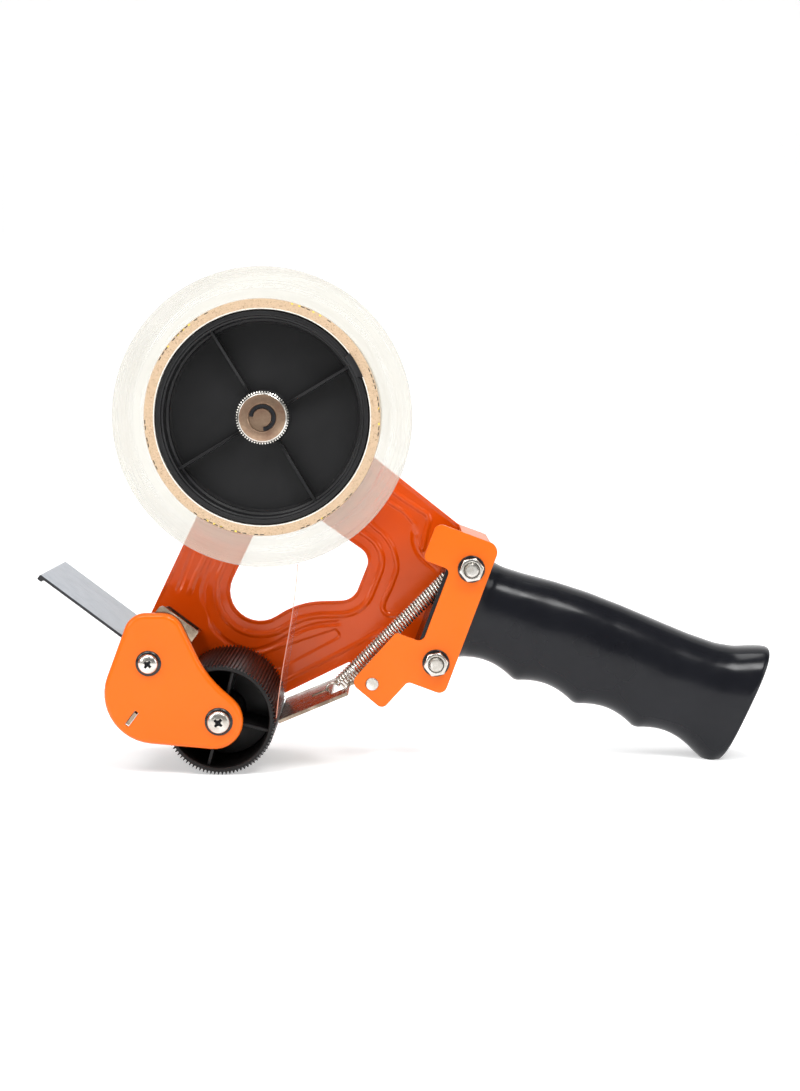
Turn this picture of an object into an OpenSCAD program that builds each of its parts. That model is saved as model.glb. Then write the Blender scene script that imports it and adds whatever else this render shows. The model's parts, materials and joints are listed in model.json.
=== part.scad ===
// Pistol-grip packing tape dispenser, in millimetres.
// +X runs from the wiper flap to the heel of the grip, +Y from the front cover to the
// side frame and +Z up. The part stands on its press roller and on the heel of its grip.
// Outlines are written in the plane of the side frame, as [x, z, corner radius], measured
// from the reel spindle. They are listed anticlockwise as seen from the front cover.

/* [Tape] */
// Width of the tape and of its core
tape_width = 48; // [36:0.2:60]
// Outside diameter of the wound tape
tape_diameter = 106; // [92:1:116]
// Bore of the paperboard core
core_bore = 76.2; // [70:0.1:80]
// Wall of the paperboard core
core_wall = 3.7; // [2:0.1:6]

/* [Reel hub] */
// Radial gap between the hub and the core
hub_gap = 0.5; // [0.3:0.05:1]
// Wall of the hub's drum
hub_wall = 2.4; // [1.6:0.1:4]
// Diameter of the hub's centre boss
boss_diameter = 18; // [15:0.5:24]
// Number of stiffening ribs in the hub
hub_ribs = 4; // [3:1:8]
// Diameter of the spindle
spindle_diameter = 8; // [6.6:0.1:10]
// Diameter of the knurled tension knob
knob_diameter = 19; // [17:0.5:24]
// Thickness of the tension knob
knob_thickness = 4.5; // [3.6:0.1:6]

/* [Press roller] */
// Diameter over the roller's ribs
roller_diameter = 40; // [34:0.5:42]
// Height of the ribs on the roller
rib_height = 0.9; // [0.5:0.1:1.2]
// Number of ribs round the roller
roller_ribs = 90; // [48:2:110]
// Wall of the roller's shell
roller_wall = 1.5; // [1.2:0.1:3]
// Diameter of the roller axle
axle_diameter = 6; // [5:0.1:8]

/* [Sheet metal] */
// Thickness of the painted steel sheet
sheet = 1.2; // [0.8:0.1:1.6]
// Thickness of the plated steel sheet
plate = 1.2; // [0.8:0.1:1.5]
// Gap between the tape and the sheet on each side of it
side_gap = 3; // [2.6:0.1:5]

/* [Grip] */
// Tilt of the grip below the horizontal, in degrees
grip_tilt = 20.4; // [18:0.1:23]
// Thickness of the grip across the hand
grip_thickness = 30; // [24:0.5:30]
// Length of the grip behind its bolts
grip_length = 114; // [95:1:137]
// Distance between the two grip bolts
bolt_spacing = 37; // [35:0.5:38]
// Diameter of the grip bolts
bolt_diameter = 5; // [4:0.1:6]
// Depth of the finger grooves
groove_depth = 3.2; // [1:0.1:4]

/* [Flap and blade] */
// Length of the wiper flap beyond its holder
flap_length = 36.8; // [30:0.2:44]
// Thickness of the wiper flap
flap_thickness = 1; // [0.6:0.1:1.2]
// Number of teeth on the blade
blade_teeth = 24; // [12:1:32]

/* [Retainer arm] */
// Diameter of the arm's pivot pin
pin_diameter = 4.8; // [4:0.02:5.8]
// Outside diameter of the tension spring
spring_diameter = 5.6; // [4.6:0.1:6]

/* [Hidden] */

$fn = 96;
slip = 0.05;      // radial gap of a pin that turns in its hole
loose = 0.15;     // gap beside a piece that moves
touch = 0.02;     // gap of a hole round a fixed pin
arc_step = 9;     // largest turn between two points of a round corner, in degrees

// Positions of the axes, measured from the spindle as [x, z]
roller_at = [-15.8, -107.8];
screw_at = [-40.6, -86.9];
grip_at = [74.7, -55.5];
pin_in_grip = [-19.2, -52.6];

// Depths along Y. The tape is centred on zero.
tape_near = -tape_width / 2;
tape_far = tape_width / 2;
frame_near = tape_far + side_gap;
frame_far = frame_near + sheet;
cover_far = tape_near - side_gap;
cover_near = cover_far - sheet;
block_gap = 0.2;
block_thickness = grip_thickness + 1.4;
bracket_far = frame_near - block_thickness - 2 * block_gap;
bracket_near = bracket_far - sheet;
grip_middle = (frame_near + bracket_far) / 2;

// Radii
tape_r = tape_diameter / 2;
core_r = core_bore / 2;
core_outer_r = core_r + core_wall;
hub_r = core_r - hub_gap;
roller_r = roller_diameter / 2;

// Fastener sizes
washer_thickness = 0.8;
nut_width = 1.6 * bolt_diameter;
nut_height = 3.6;
bolt_head_height = 3.2;
bolt_end = 1.2;
cover_washer_d = [9.1, 10];
screw_head_d = [7, 8];
screw_head_height = 2.2;
screw_d = 3;
screw_length = 9;
rivet_d = 3;
rivet_head_d = 5;
rivet_head = 1;

/* ---- outlines ---- */

function unit(v) = v / norm(v);
function turned(v, a) = [v[0] * cos(a) - v[1] * sin(a), v[0] * sin(a) + v[1] * cos(a)];
function left_of(v) = [-v[1], v[0]];
function at(list, i) = list[(i + len(list)) % len(list)];
function flat(p) = [p[0], p[1]];

// The arc that rounds the corner at q between p and r
function corner(p, q, r, radius) =
    let (a = unit(p - q), b = unit(r - q), half = acos(a * b) / 2)
    let (centre = q + unit(a + b) * radius / sin(half))
    let (first = q + a * radius / tan(half) - centre, last = q + b * radius / tan(half) - centre)
    let (from = atan2(first[1], first[0]), to = atan2(last[1], last[0]))
    let (sweep = (to - from + 540) % 360 - 180, count = max(1, ceil(abs(sweep) / arc_step)))
    [for (i = [0:count]) centre + turned([radius, 0], from + sweep * i / count)];

// A closed outline through [x, z, radius] corners
function rounded(v) =
    [for (i = [0:len(v) - 1]) each corner(flat(at(v, i - 1)), flat(v[i]), flat(at(v, i + 1)), v[i][2])];

// The same corners moved inwards by d
function inset(v, d) = [for (i = [0:len(v) - 1])
    let (into = unit(flat(v[i]) - flat(at(v, i - 1))), out = unit(flat(at(v, i + 1)) - flat(v[i])))
    let (n1 = left_of(into), n2 = left_of(out), grow = cross(into, out) > 0 ? -d : d)
    let (p = flat(v[i]) + (n1 + n2) * d / (1 + n1 * n2))
    [p[0], p[1], v[i][2] + grow]];

// A point given along and across the grip, moved into the plane of the frame
function from_grip(p) = grip_at + turned(flat(p), -grip_tilt);
function grip_corner(s, n, r) = let (p = from_grip([s, n])) [p[0], p[1], r];

bracket_right = 7;
bracket_left = -7.2;
bracket_top = 11.6;
bracket_bottom = -bolt_spacing - 10.2;
hook_top = -3;
hook_left = -17.8;

bell_corners = [[-47.1, -69.1, 8], [-63.9, -114, 18], [12.2, -120.8, 10.3], [-20.2, -91.6, 40],
    [-30.9, -69.1, 8]];

window_corners = [[1, -28, 9], [-33.4, -99.5, 11.5], [9.5, -71.7, 32], [30.6, -71.1, 7], [37.5, -53.9, 6]];

frame_corners = [[-2.7, 16.7, 11], [-48.4, -78.4, 20], [-63.9, -114, 18], [-18.3, -118, 14],
    [31.5, -93.7, 2], grip_corner(-25.4, -58.8, 5), grip_corner(-13.2, -58.8, 5),
    grip_corner(-9, bracket_bottom + 1, 3), grip_corner(bracket_right, bracket_bottom + 1, 3),
    grip_corner(bracket_right, bracket_top, 3), grip_corner(-8.5, bracket_top, 6)];

bracket_corners = [[hook_left, bracket_top, 3], [hook_left, hook_top, 2], [bracket_left, hook_top, 2],
    [bracket_left, -31.6, 2.5], [-17.6, -31.6, 1.5], [-26.9, -54.9, 3], [-12.4, -60.1, 2.5],
    [bracket_left, bracket_bottom, 2], [bracket_right, bracket_bottom, 3], [bracket_right, bracket_top, 4]];

// The grip, along s from the bolts and across n from the upper bolt
groove_pitch = 24.2;
groove_first = 6.6;
groove_last = groove_first + 4 * groove_pitch;
groove_line = -34.7;
groove_fall = 0.02;
groove_steps = 48;
block_front = -8.5;
block_top = bracket_top - sheet - block_gap;
block_bottom = bracket_bottom + 2.6;
grip_stretch = grip_length / 114;

function groove(s) = groove_line - groove_fall * (s - groove_first)
    + groove_depth * pow(abs(sin(180 * (s - groove_first) / groove_pitch)), 0.8);
groove_points = [for (i = [0:groove_steps])
    let (s = groove_first + (groove_last - groove_first) * i / groove_steps) [s * grip_stretch, groove(s)]];
grip_end_corners = [[5, -20, 1], [108.2 * grip_stretch, -36.5, 1.5], [112.2 * grip_stretch, -35.7, 3],
    [116 * grip_stretch, 9.8, 3], [98 * grip_stretch, 3.4, 30], [45 * grip_stretch, 5.7, 60],
    [12 * grip_stretch, 3.2, 8], [5, 4.4, 0.5]];
grip_end_points = rounded(grip_end_corners);
grip_points = concat(groove_points, [for (p = grip_end_points) if (p[0] > 9) p], [[5, 4.4], [5, -34.4]]);
block_corners = [[block_front, block_top, 3], [block_front, block_bottom, 4],
    [bracket_right - 1, block_bottom, 3], [bracket_right - 1, block_top, 3]];

// The whole part's box, for an origin at the middle of its base
grip_in_frame = [for (p = grip_points) from_grip(p)];
blade_tilt = 53;
flap_line = 0.6;
leaf_end = 13;
flap_tip = screw_at + turned([flap_line, leaf_end + flap_length], blade_tilt);
x_low = flap_tip[0];
x_high = max([for (p = grip_in_frame) p[0]]);
z_low = min(roller_at[1] - roller_r, min([for (p = grip_in_frame) p[1]]));
y_low = cover_near - washer_thickness - screw_head_height;
y_high = frame_far + bolt_head_height;
origin = [(x_low + x_high) / 2, (y_low + y_high) / 2, z_low];

/* ---- building blocks ---- */

module place() { translate(-origin) children(); }

// A plate with an outline in the frame's plane, from one depth to another
module slab(points, near, far) {
    translate([0, far, 0]) rotate([90, 0, 0]) linear_extrude(height = far - near) polygon(points);
}

// A round bar along Y through [x, z]
module bar(p, diameter, near, far) {
    translate([p[0], far, p[1]]) rotate([90, 0, 0]) cylinder(d = diameter, h = far - near);
}

// A regular prism along Y, measured across its flats
module hexagon(p, width, near, far) {
    translate([p[0], far, p[1]]) rotate([90, 0, 0]) rotate([0, 0, 10])
        cylinder(d = width / cos(30), h = far - near, $fn = 6);
}

module in_grip() {
    translate([grip_at[0], 0, grip_at[1]]) rotate([0, grip_tilt, 0]) children();
}

upper_bolt = grip_at;
lower_bolt = from_grip([0, -bolt_spacing]);
grip_bolts = [upper_bolt, lower_bolt];
pin_at = from_grip(pin_in_grip);

/* ---- frame, bracket and cover ---- */

module side_frame() {
    color("orangered") place() difference() {
        slab(rounded(frame_corners), frame_near, frame_far);
        slab(rounded(window_corners), frame_near - 1, frame_far + 1);
        bar([0, 0], spindle_diameter + 2 * touch, frame_near - 1, frame_far + 1);
        bar(roller_at, axle_diameter + 2 * touch, frame_near - 1, frame_far + 1);
        bar(screw_at, tie_shoulder + 2 * touch, frame_near - 1, frame_far + 1);
        bar(pin_at, pin_diameter + 2 * touch, frame_near - 1, frame_far + 1);
        for (p = grip_bolts) bar(p, bolt_diameter + 2 * touch, frame_near - 1, frame_far + 1);
    }
}

module handle_bracket() {
    web_left = -8;
    color("darkorange") place() difference() {
        union() {
            in_grip() slab(rounded(bracket_corners), bracket_near, bracket_far);
            in_grip() translate([web_left, bracket_far, bracket_top - sheet])
                cube([bracket_right - 4 - web_left, frame_near - bracket_far, sheet]);
        }
        bar(pin_at, pin_diameter + 2 * touch, bracket_near - 1, bracket_far + 1);
        for (p = grip_bolts) bar(p, bolt_diameter + 2 * touch, bracket_near - 1, bracket_far + 1);
    }
}

cover_rim = 1.6;
slot_at = -19.6;

module front_cover() {
    rim_corners = inset(bell_corners, sheet);
    color("darkorange") place() difference() {
        slab(rounded(bell_corners), cover_near, cover_far + cover_rim);
        slab(rounded(rim_corners), cover_far, cover_far + cover_rim + 1);
        bar(roller_at, screw_d + 2 * touch, cover_near - 1, cover_far + 1);
        bar(screw_at, screw_d + 2 * touch, cover_near - 1, cover_far + 1);
        in_blade() translate([slot_at - tab_width / 2 - touch, cover_near - 1, web_at - touch])
            cube([tab_width + 2 * touch, sheet + 2, plate + 2 * touch]);
    }
}

module cover_screws() {
    head_at = cover_near - washer_thickness;
    color("silver") place() for (i = [0, 1]) {
        p = [screw_at, roller_at][i];
        difference() {
            union() {
                bar(p, screw_d, head_at, cover_near + screw_length);
                bar(p, screw_head_d[i], head_at - screw_head_height, head_at);
            }
            for (a = [0, 90]) translate([p[0], head_at - screw_head_height, p[1]])
                rotate([0, 40 + a, 0]) cube([4.2, 2.4, 0.9], center = true);
        }
    }
}

module cover_washers() {
    color("black") place() for (i = [0, 1]) {
        p = [screw_at, roller_at][i];
        difference() {
            bar(p, cover_washer_d[i], cover_near - washer_thickness, cover_near);
            bar(p, screw_d + 2 * touch, cover_near - 2, cover_near + 1);
        }
    }
}

tie_diameter = 7;
tie_shoulder = 5;

module tie_rod() {
    color("silver") place() difference() {
        union() {
            bar(screw_at, tie_diameter, cover_far, frame_near);
            bar(screw_at, tie_shoulder, frame_near, frame_far + rivet_head);
            bar(screw_at, tie_diameter + 1, frame_far, frame_far + rivet_head);
        }
        bar(screw_at, screw_d + 2 * touch, cover_far - 1, cover_far + screw_length);
    }
}

/* ---- roller ---- */

module roller_axle() {
    color("silver") place() difference() {
        union() {
            bar(roller_at, axle_diameter, cover_far, frame_far + rivet_head);
            bar(roller_at, axle_diameter + 3, frame_far, frame_far + rivet_head);
        }
        bar(roller_at, screw_d + 2 * touch, cover_far - 1, cover_far + screw_length);
    }
}

bush_length = 8;
bush_d = axle_diameter + 4;
bush_flange = 1;
roller_boss = bush_d + 4;
roller_half = tape_width / 2 + 0.5;
roller_web = 2;

function roller_outline() = [for (i = [0:2 * roller_ribs - 1])
    roller_at + turned([roller_r - (i % 2) * rib_height, 0], i * 180 / roller_ribs)];

module press_roller() {
    root_r = roller_r - rib_height;
    color("dimgray") place() difference() {
        union() {
            difference() {
                slab(roller_outline(), -roller_half, roller_half);
                bar(roller_at, 2 * (root_r - roller_wall), -roller_half - 1, roller_half + 1);
            }
            bar(roller_at, roller_boss, -roller_half, roller_half);
            bar(roller_at, 2 * root_r - roller_wall, -roller_web / 2, roller_web / 2);
            for (a = [15:90:285]) translate([roller_at[0], 0, roller_at[1]]) rotate([0, a, 0])
                translate([roller_boss / 2 - 1, -roller_half + 3, -0.65])
                    cube([root_r - roller_wall - roller_boss / 2 + 1.6, 2 * roller_half - 6, 1.3]);
        }
        bar(roller_at, axle_diameter + 1, -roller_half - 1, roller_half + 1);
        for (side = [-1, 1]) bar(roller_at, bush_d, min(side * roller_half, side * (roller_half - bush_length)),
            max(side * roller_half, side * (roller_half - bush_length)));
    }
}

module roller_bushes() {
    color("ivory") place() for (side = [-1, 1]) {
        inner = side * (roller_half - bush_length);
        outer = side * (roller_half + bush_flange);
        difference() {
            union() {
                bar(roller_at, bush_d, min(inner, outer), max(inner, outer));
                bar(roller_at, bush_d + 2, min(side * roller_half, outer), max(side * roller_half, outer));
            }
            bar(roller_at, axle_diameter + 2 * slip, -roller_half - 2, roller_half + 2);
        }
    }
}

/* ---- blade and flap: along u up the blade bracket, across v towards the flap ---- */

web_at = -7.6;
web_low = -22;
web_high = 11.3;
tab_width = 5;
ear_top = 19.3;
ear_left = 9;
ear_gap = 0.1;
far_ear_gap = 0.4;

module in_blade() {
    translate([screw_at[0], 0, screw_at[1]]) rotate([0, -blade_tilt, 0]) children();
}

module blade_bracket() {
    low_corners = [[6, ear_left, 3], [-6, 6, 5], [-6, web_at, 0.5]];
    near_ear = concat([[ear_top, ear_left, 2]], low_corners, [[ear_top, web_at, 0.5]]);
    far_ear = concat([[web_high, ear_left, 2]], low_corners, [[web_high, web_at, 0.5]]);
    near = cover_far + cover_rim + ear_gap;
    far = frame_near - far_ear_gap;
    color("tan") place() difference() {
        union() {
            in_blade() translate([web_low, near, web_at]) cube([web_high - web_low, far - near, plate]);
            in_blade() slab(rounded(near_ear), near, near + plate);
            in_blade() slab(rounded(far_ear), far - plate, far);
            in_blade() translate([slot_at - tab_width / 2, cover_near - 0.4, web_at])
                cube([tab_width, near - cover_near + 0.6, plate]);
        }
        bar(screw_at, tie_diameter + 2 * touch, near - 1, far + 1);
        in_blade() for (u = [blade_rivet_u, holder_rivet_u], y = rivet_columns)
            across_web(u, y, rivet_d + 2 * touch);
    }
}

// A hole through the bracket's web at height u and depth y
module across_web(u, y, diameter) {
    translate([u, y, web_at - 1]) cylinder(d = diameter, h = 2 * plate + 1.5);
}

blade_thickness = 0.8;
blade_half = tape_width / 2;
blade_top = -8.2;
blade_root = -22.6;
tooth_height = 2;
rivet_columns = [-17, 17];
blade_rivet_u = -12;
holder_rivet_u = -5;

module cutting_blade() {
    teeth = [for (i = [0:2 * blade_teeth]) [blade_root - (i % 2) * tooth_height,
        -blade_half + i * blade_half / blade_teeth]];
    color("silver") place() in_blade() difference() {
        translate([0, 0, web_at + plate]) linear_extrude(height = blade_thickness)
            polygon(concat([[blade_top, -blade_half]], teeth, [[blade_top, blade_half]]));
        for (y = rivet_columns) across_web(blade_rivet_u, y, rivet_d + 2 * touch);
    }
}

// A rivet that holds a stack on the web, from its underside up to the given height
module web_rivet(u, y, top) {
    translate([u, y, web_at - rivet_head]) cylinder(d = rivet_head_d, h = rivet_head);
    translate([u, y, web_at - rivet_head]) cylinder(d = rivet_d, h = top - web_at + 2 * rivet_head);
    translate([u, y, top]) cylinder(d = rivet_head_d, h = rivet_head);
}

module blade_rivets() {
    color("silver") place() in_blade() for (y = rivet_columns) {
        web_rivet(blade_rivet_u, y, web_at + plate + blade_thickness);
        web_rivet(holder_rivet_u, y, web_at + 2 * plate);
    }
}

holder_half = tape_width / 2 - 0.5;
holder_foot = -7.7;
holder_barrel = tie_diameter + 2 * plate;
flap_root = holder_barrel / 2 + 0.3;
flap_rivet_v = 9;
flap_lip = 2;

// A strip folded round the tie rod. Its two leaves grip the flap and its foot sits on the web.
module flap_holder() {
    seat = web_at + plate;
    upper = flap_line + flap_thickness;
    color("tan") place() difference() {
        in_blade() translate([0, holder_half, 0]) rotate([90, 0, 0])
            linear_extrude(height = 2 * holder_half) difference() {
                union() {
                    circle(d = holder_barrel);
                    translate([flap_line - plate, 0]) square([plate, leaf_end]);
                    translate([upper, 0]) square([plate, leaf_end]);
                    translate([holder_foot, seat]) square([-holder_foot, plate]);
                    translate([-plate, seat]) square([plate, -seat]);
                }
                circle(d = tie_diameter + 2 * touch);
            }
        in_blade() for (y = rivet_columns) across_web(holder_rivet_u, y, rivet_d + 2 * touch);
        in_blade() for (y = rivet_columns) across_flap(y, rivet_d + 2 * touch);
    }
}

// A hole through both leaves and the flap between them
module across_flap(y, diameter) {
    translate([flap_line - 6, y, flap_rivet_v]) rotate([0, 90, 0]) cylinder(d = diameter, h = 14);
}

module flap_rivets() {
    low = flap_line - plate;
    high = flap_line + flap_thickness + plate;
    color("silver") place() in_blade() for (y = rivet_columns) {
        translate([low - rivet_head, y, flap_rivet_v]) rotate([0, 90, 0])
            cylinder(d = rivet_d, h = high - low + 2 * rivet_head);
        translate([low - rivet_head, y, flap_rivet_v]) rotate([0, 90, 0])
            cylinder(d = rivet_head_d, h = rivet_head);
        translate([high, y, flap_rivet_v]) rotate([0, 90, 0]) cylinder(d = rivet_head_d, h = rivet_head);
    }
}

module wiper_flap() {
    reach = leaf_end + flap_length - flap_root;
    color("black") place() in_blade() difference() {
        union() {
            translate([flap_line, -holder_half, flap_root]) cube([flap_thickness, 2 * holder_half, reach]);
            translate([flap_line - 1, -holder_half, flap_root + reach - flap_lip])
                cube([1, 2 * holder_half, flap_lip]);
        }
        for (y = rivet_columns) across_flap(y, rivet_d + 2 * touch);
    }
}

/* ---- retainer arm ---- */

arm_tilt = 202.5;
arm_half = tape_width / 2 - 1;
barrel_wall = 1.1;
barrel_r = pin_diameter / 2 + slip + barrel_wall;
nip = 0.4;
arm_wide_from = 8;
arm_reach = 34.9;
hook_hole = [5, 7];
hook_hole_at = 19.6;
arm_window = [28, 6];
arm_window_at = 11.6;
spring_room = 0.5;

module in_arm() {
    translate([pin_at[0], 0, pin_at[1]]) rotate([0, -arm_tilt, 0]) children();
}

module retainer_arm() {
    inner_near = bracket_far + loose;
    inner_far = frame_near - loose;
    neck_near = inner_near + 1;
    top = 0.2 - barrel_r;
    color("silver") place() difference() {
        union() {
            bar(pin_at, 2 * barrel_r, inner_near, inner_far);
            in_arm() translate([0, 0, top]) linear_extrude(height = plate)
                polygon([[0, neck_near], [arm_wide_from, neck_near], [arm_wide_from, -arm_half],
                    [arm_reach, -arm_half], [arm_reach, arm_half], [0, arm_half]]);
        }
        bar(pin_at, pin_diameter + 2 * slip, inner_near - 1, inner_far + 1);
        in_arm() translate([barrel_r + spring_room, spring_y - spring_diameter / 2 - spring_room, top - 1])
            cube([arm_window_at - barrel_r, spring_diameter + 2 * spring_room, plate + 2]);
        in_arm() translate([hook_hole_at - hook_hole[1] / 2, spring_y - hook_hole[0] / 2, top - 1])
            cube([hook_hole[1], hook_hole[0], plate + 2]);
        in_arm() translate([arm_window_at - arm_window[1] / 2, spring_y - arm_window[0] / 2, top - 1])
            cube([arm_window[1], arm_window[0], plate + 2]);
        bar(roller_at, 2 * (roller_r + nip), -arm_half - 1, arm_half + 1);
    }
}

module pivot_pin() {
    color("silver") place() {
        bar(pin_at, pin_diameter, bracket_near - 0.3, frame_far + rivet_head);
        bar(pin_at, pin_diameter + 2, frame_far, frame_far + rivet_head);
    }
}

/* ---- tension spring: between the arm's hole and the upper grip bolt ---- */

spring_y = bracket_far + spring_diameter / 2 + 4;
wire = 0.8;
spring_low = [25.6, -99.8];
spring_high = [66.2, -59.2];

spring_run = spring_high - spring_low;
spring_tilt = atan2(spring_run[1], spring_run[0]);
low_eye_r = 2.7;
stem = 0.7;
low_eye = spring_low - unit(spring_run) * low_eye_r;
high_eye_r = abs(cross(unit(spring_run), grip_at - spring_low));
high_eye_along = unit(spring_run) * (grip_at - spring_high);

// A ring of wire in the plane of the frame
module eye(p, radius) {
    difference() {
        bar(p, 2 * radius + wire, spring_y - wire / 2, spring_y + wire / 2);
        bar(p, 2 * radius - wire, spring_y - wire, spring_y + wire);
    }
}

module tension_spring() {
    color("silver") place() {
        eye(low_eye, low_eye_r);
        eye(grip_at, high_eye_r);
        translate([spring_low[0], spring_y, spring_low[1]]) rotate([0, 90 - spring_tilt, 0]) {
            difference() {
                cylinder(d = spring_diameter, h = norm(spring_run));
                translate([0, 0, wire]) cylinder(d = spring_diameter - 2 * wire, h = norm(spring_run));
            }
            cylinder(d = stem, h = norm(spring_run) + high_eye_along);
        }
    }
}

/* ---- reel ---- */

spindle_flange = 2;
neck_diameter = spindle_diameter - 1.6;
knob_near = tape_near + 0.8;
knob_far = knob_near + knob_thickness;
knob_recess = neck_diameter + 3.6;
recess_depth = 1.2;
clip_at = knob_near + recess_depth - 0.1;
clip_thickness = 0.7;
clip_groove = 0.8;
spindle_end = knob_near - 0.4;

module spindle() {
    head = 1.5;
    color("silver") place() difference() {
        union() {
            bar([0, 0], spindle_diameter, knob_far + loose, frame_far + head);
            bar([0, 0], neck_diameter, spindle_end, knob_far + 1);
            bar([0, 0], boss_diameter + 4, frame_near - spindle_flange, frame_near);
            bar([0, 0], spindle_diameter + 5, frame_far, frame_far + head);
        }
        difference() {
            bar([0, 0], neck_diameter + 1, clip_at - clip_thickness - touch, clip_at + touch);
            bar([0, 0], neck_diameter - clip_groove * 2, clip_at - 3, clip_at + 3);
        }
    }
}

friction_thickness = 1;
hub_far = frame_near - spindle_flange - friction_thickness;
hub_flange = 1;
hub_web_near = -12;
hub_web = 2;
boss_near = -14;
rib_thickness = 1.2;
rib_near = tape_near + 4;
bush_wall = 2;

module friction_washer() {
    color("maroon") place() difference() {
        bar([0, 0], boss_diameter, hub_far, hub_far + friction_thickness - touch);
        bar([0, 0], spindle_diameter + 2 * slip, hub_far - 1, hub_far + 2);
    }
}

hub_drum_far = tape_far + hub_flange;
boss_far = hub_far - touch;

module tape_hub() {
    inner = hub_r - hub_wall;
    color("black") place() difference() {
        union() {
            difference() {
                union() {
                    bar([0, 0], 2 * hub_r, tape_near - 0.3, hub_drum_far);
                    bar([0, 0], 2 * (core_r + 2), tape_far + loose, hub_drum_far);
                }
                bar([0, 0], 2 * inner, tape_near - 1, hub_drum_far + 1);
            }
            bar([0, 0], 2 * inner + 1, hub_web_near, hub_web_near + hub_web);
            bar([0, 0], boss_diameter, boss_near, boss_far);
            for (i = [0:hub_ribs - 1]) rotate([0, -30 - i * 360 / hub_ribs, 0])
                translate([boss_diameter / 2 - 1, rib_near, -rib_thickness / 2])
                    cube([inner - boss_diameter / 2 + 1.5, hub_web_near - rib_near + 1, rib_thickness]);
        }
        bar([0, 0], spindle_diameter + 2 * bush_wall, boss_near - 1, boss_far + 1);
    }
}

module hub_bush() {
    color("khaki") place() difference() {
        bar([0, 0], spindle_diameter + 2 * bush_wall, boss_near, boss_far);
        bar([0, 0], spindle_diameter + 2 * slip, boss_near - 1, boss_far + 1);
    }
}

thrust_thickness = 0.8;
thrust_far = boss_near - touch;

module thrust_washer() {
    color("silver") place() difference() {
        bar([0, 0], boss_diameter - 2, thrust_far - thrust_thickness, thrust_far);
        bar([0, 0], spindle_diameter + 2 * slip, thrust_far - 2, thrust_far + 1);
    }
}

module brake_spring() {
    spring_outer = spindle_diameter + 4;
    wire_wall = 1;
    color("silver") place() difference() {
        bar([0, 0], spring_outer, knob_far + loose, thrust_far - thrust_thickness - touch);
        bar([0, 0], spring_outer - 2 * wire_wall, knob_far - 1, thrust_far + 1);
    }
}

knurls = 60;
knurl_depth = 0.4;

function knob_outline() = [for (i = [0:2 * knurls - 1])
    turned([knob_diameter / 2 - (i % 2) * knurl_depth, 0], i * 180 / knurls)];

module tension_knob() {
    color("silver") place() difference() {
        union() {
            slab(knob_outline(), knob_near, knob_near + 2.6);
            bar([0, 0], knob_diameter - 3, knob_near, knob_far);
        }
        bar([0, 0], neck_diameter + 2 * slip, knob_near - 1, knob_far + 1);
        bar([0, 0], knob_recess, knob_near - 1, knob_near + recess_depth);
    }
}

module e_clip() {
    groove_r = neck_diameter / 2 - clip_groove + touch;
    color("dimgray") place() rotate([0, 45, 0]) difference() {
        bar([0, 0], knob_recess - 1, clip_at - clip_thickness, clip_at);
        bar([0, 0], 2 * groove_r, clip_at - 2, clip_at + 2);
        translate([-8, clip_at - 2, -groove_r * 0.8]) cube([8, 4, groove_r * 1.6]);
    }
}

module tape_core() {
    color("burlywood") place() difference() {
        bar([0, 0], 2 * core_outer_r, tape_near, tape_far);
        bar([0, 0], core_bore, tape_near - 1, tape_far + 1);
    }
}

module tape_roll() {
    color("ivory") place() difference() {
        bar([0, 0], tape_diameter, tape_near, tape_far);
        bar([0, 0], 2 * core_outer_r, tape_near - 1, tape_far + 1);
    }
}

/* ---- tape strip: it peels off the roll and hangs into the nip ---- */

strip_thickness = 0.3;
strip_gap = 0.3;
peel_angle = -76.8;
strip_bow = 2.2;
strip_steps = 14;
nip_angle = 1.5;

strip_top = turned([tape_r + strip_gap, 0], peel_angle);
strip_end = roller_at + turned([roller_r + strip_gap - 0.25, 0], nip_angle);
function strip_line(f) = strip_top + (strip_end - strip_top) * f
    + [strip_bow * sin(180 * f) * (0.6 - f), 0];

module tape_strip() {
    left_side = [for (i = [0:strip_steps]) strip_line(i / strip_steps)];
    right_side = [for (i = [strip_steps:-1:0]) strip_line(i / strip_steps) + [strip_thickness, 0]];
    color("whitesmoke") place() slab(concat(left_side, right_side), tape_near, tape_far);
}

/* ---- grip and its fasteners ---- */

oval_height = 28;
oval_middle = -15;
oval_power = 3;

function oval(a) = [pow(abs(cos(a)), 2 / oval_power) * sign(cos(a)) * grip_thickness / 2,
    pow(abs(sin(a)), 2 / oval_power) * sign(sin(a)) * oval_height];

module handle() {
    color("darkslategray") place() difference() {
        union() {
            in_grip() intersection() {
                slab(grip_points, bracket_far, frame_near);
                translate([0, grip_middle, oval_middle]) rotate([90, 0, 90])
                    linear_extrude(height = 2 * grip_length) polygon([for (a = [0:7.5:352.5]) oval(a)]);
            }
            in_grip() slab(rounded(block_corners), bracket_far + block_gap, frame_near - block_gap);
        }
        for (p = grip_bolts) bar(p, bolt_diameter + 2 * touch, bracket_far - 1, frame_near + 1);
        hook_slot();
    }
}

// Room in the grip's block for the spring's end and for its eye on the upper bolt
module hook_slot() {
    room = spring_diameter + 1.4;
    eye_room = 2 * (high_eye_r + wire + 0.4);
    bar(grip_at, eye_room, spring_y - wire, spring_y + wire);
    translate([grip_at[0], spring_y, grip_at[1]]) rotate([0, -spring_tilt, 0])
        translate([-14, -wire, 0]) cube([14, 2 * wire, eye_room / 2]);
    translate([spring_high[0], spring_y, spring_high[1]]) rotate([0, -spring_tilt, 0])
        translate([-14, -room / 2, -room / 2]) cube([14.6, room, room]);
}

module handle_bolts() {
    color("silver") place() for (p = grip_bolts) {
        bar(p, bolt_diameter, bracket_near - washer_thickness - nut_height - bolt_end, frame_far);
        hexagon(p, nut_width, frame_far, frame_far + bolt_head_height);
    }
}

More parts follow.
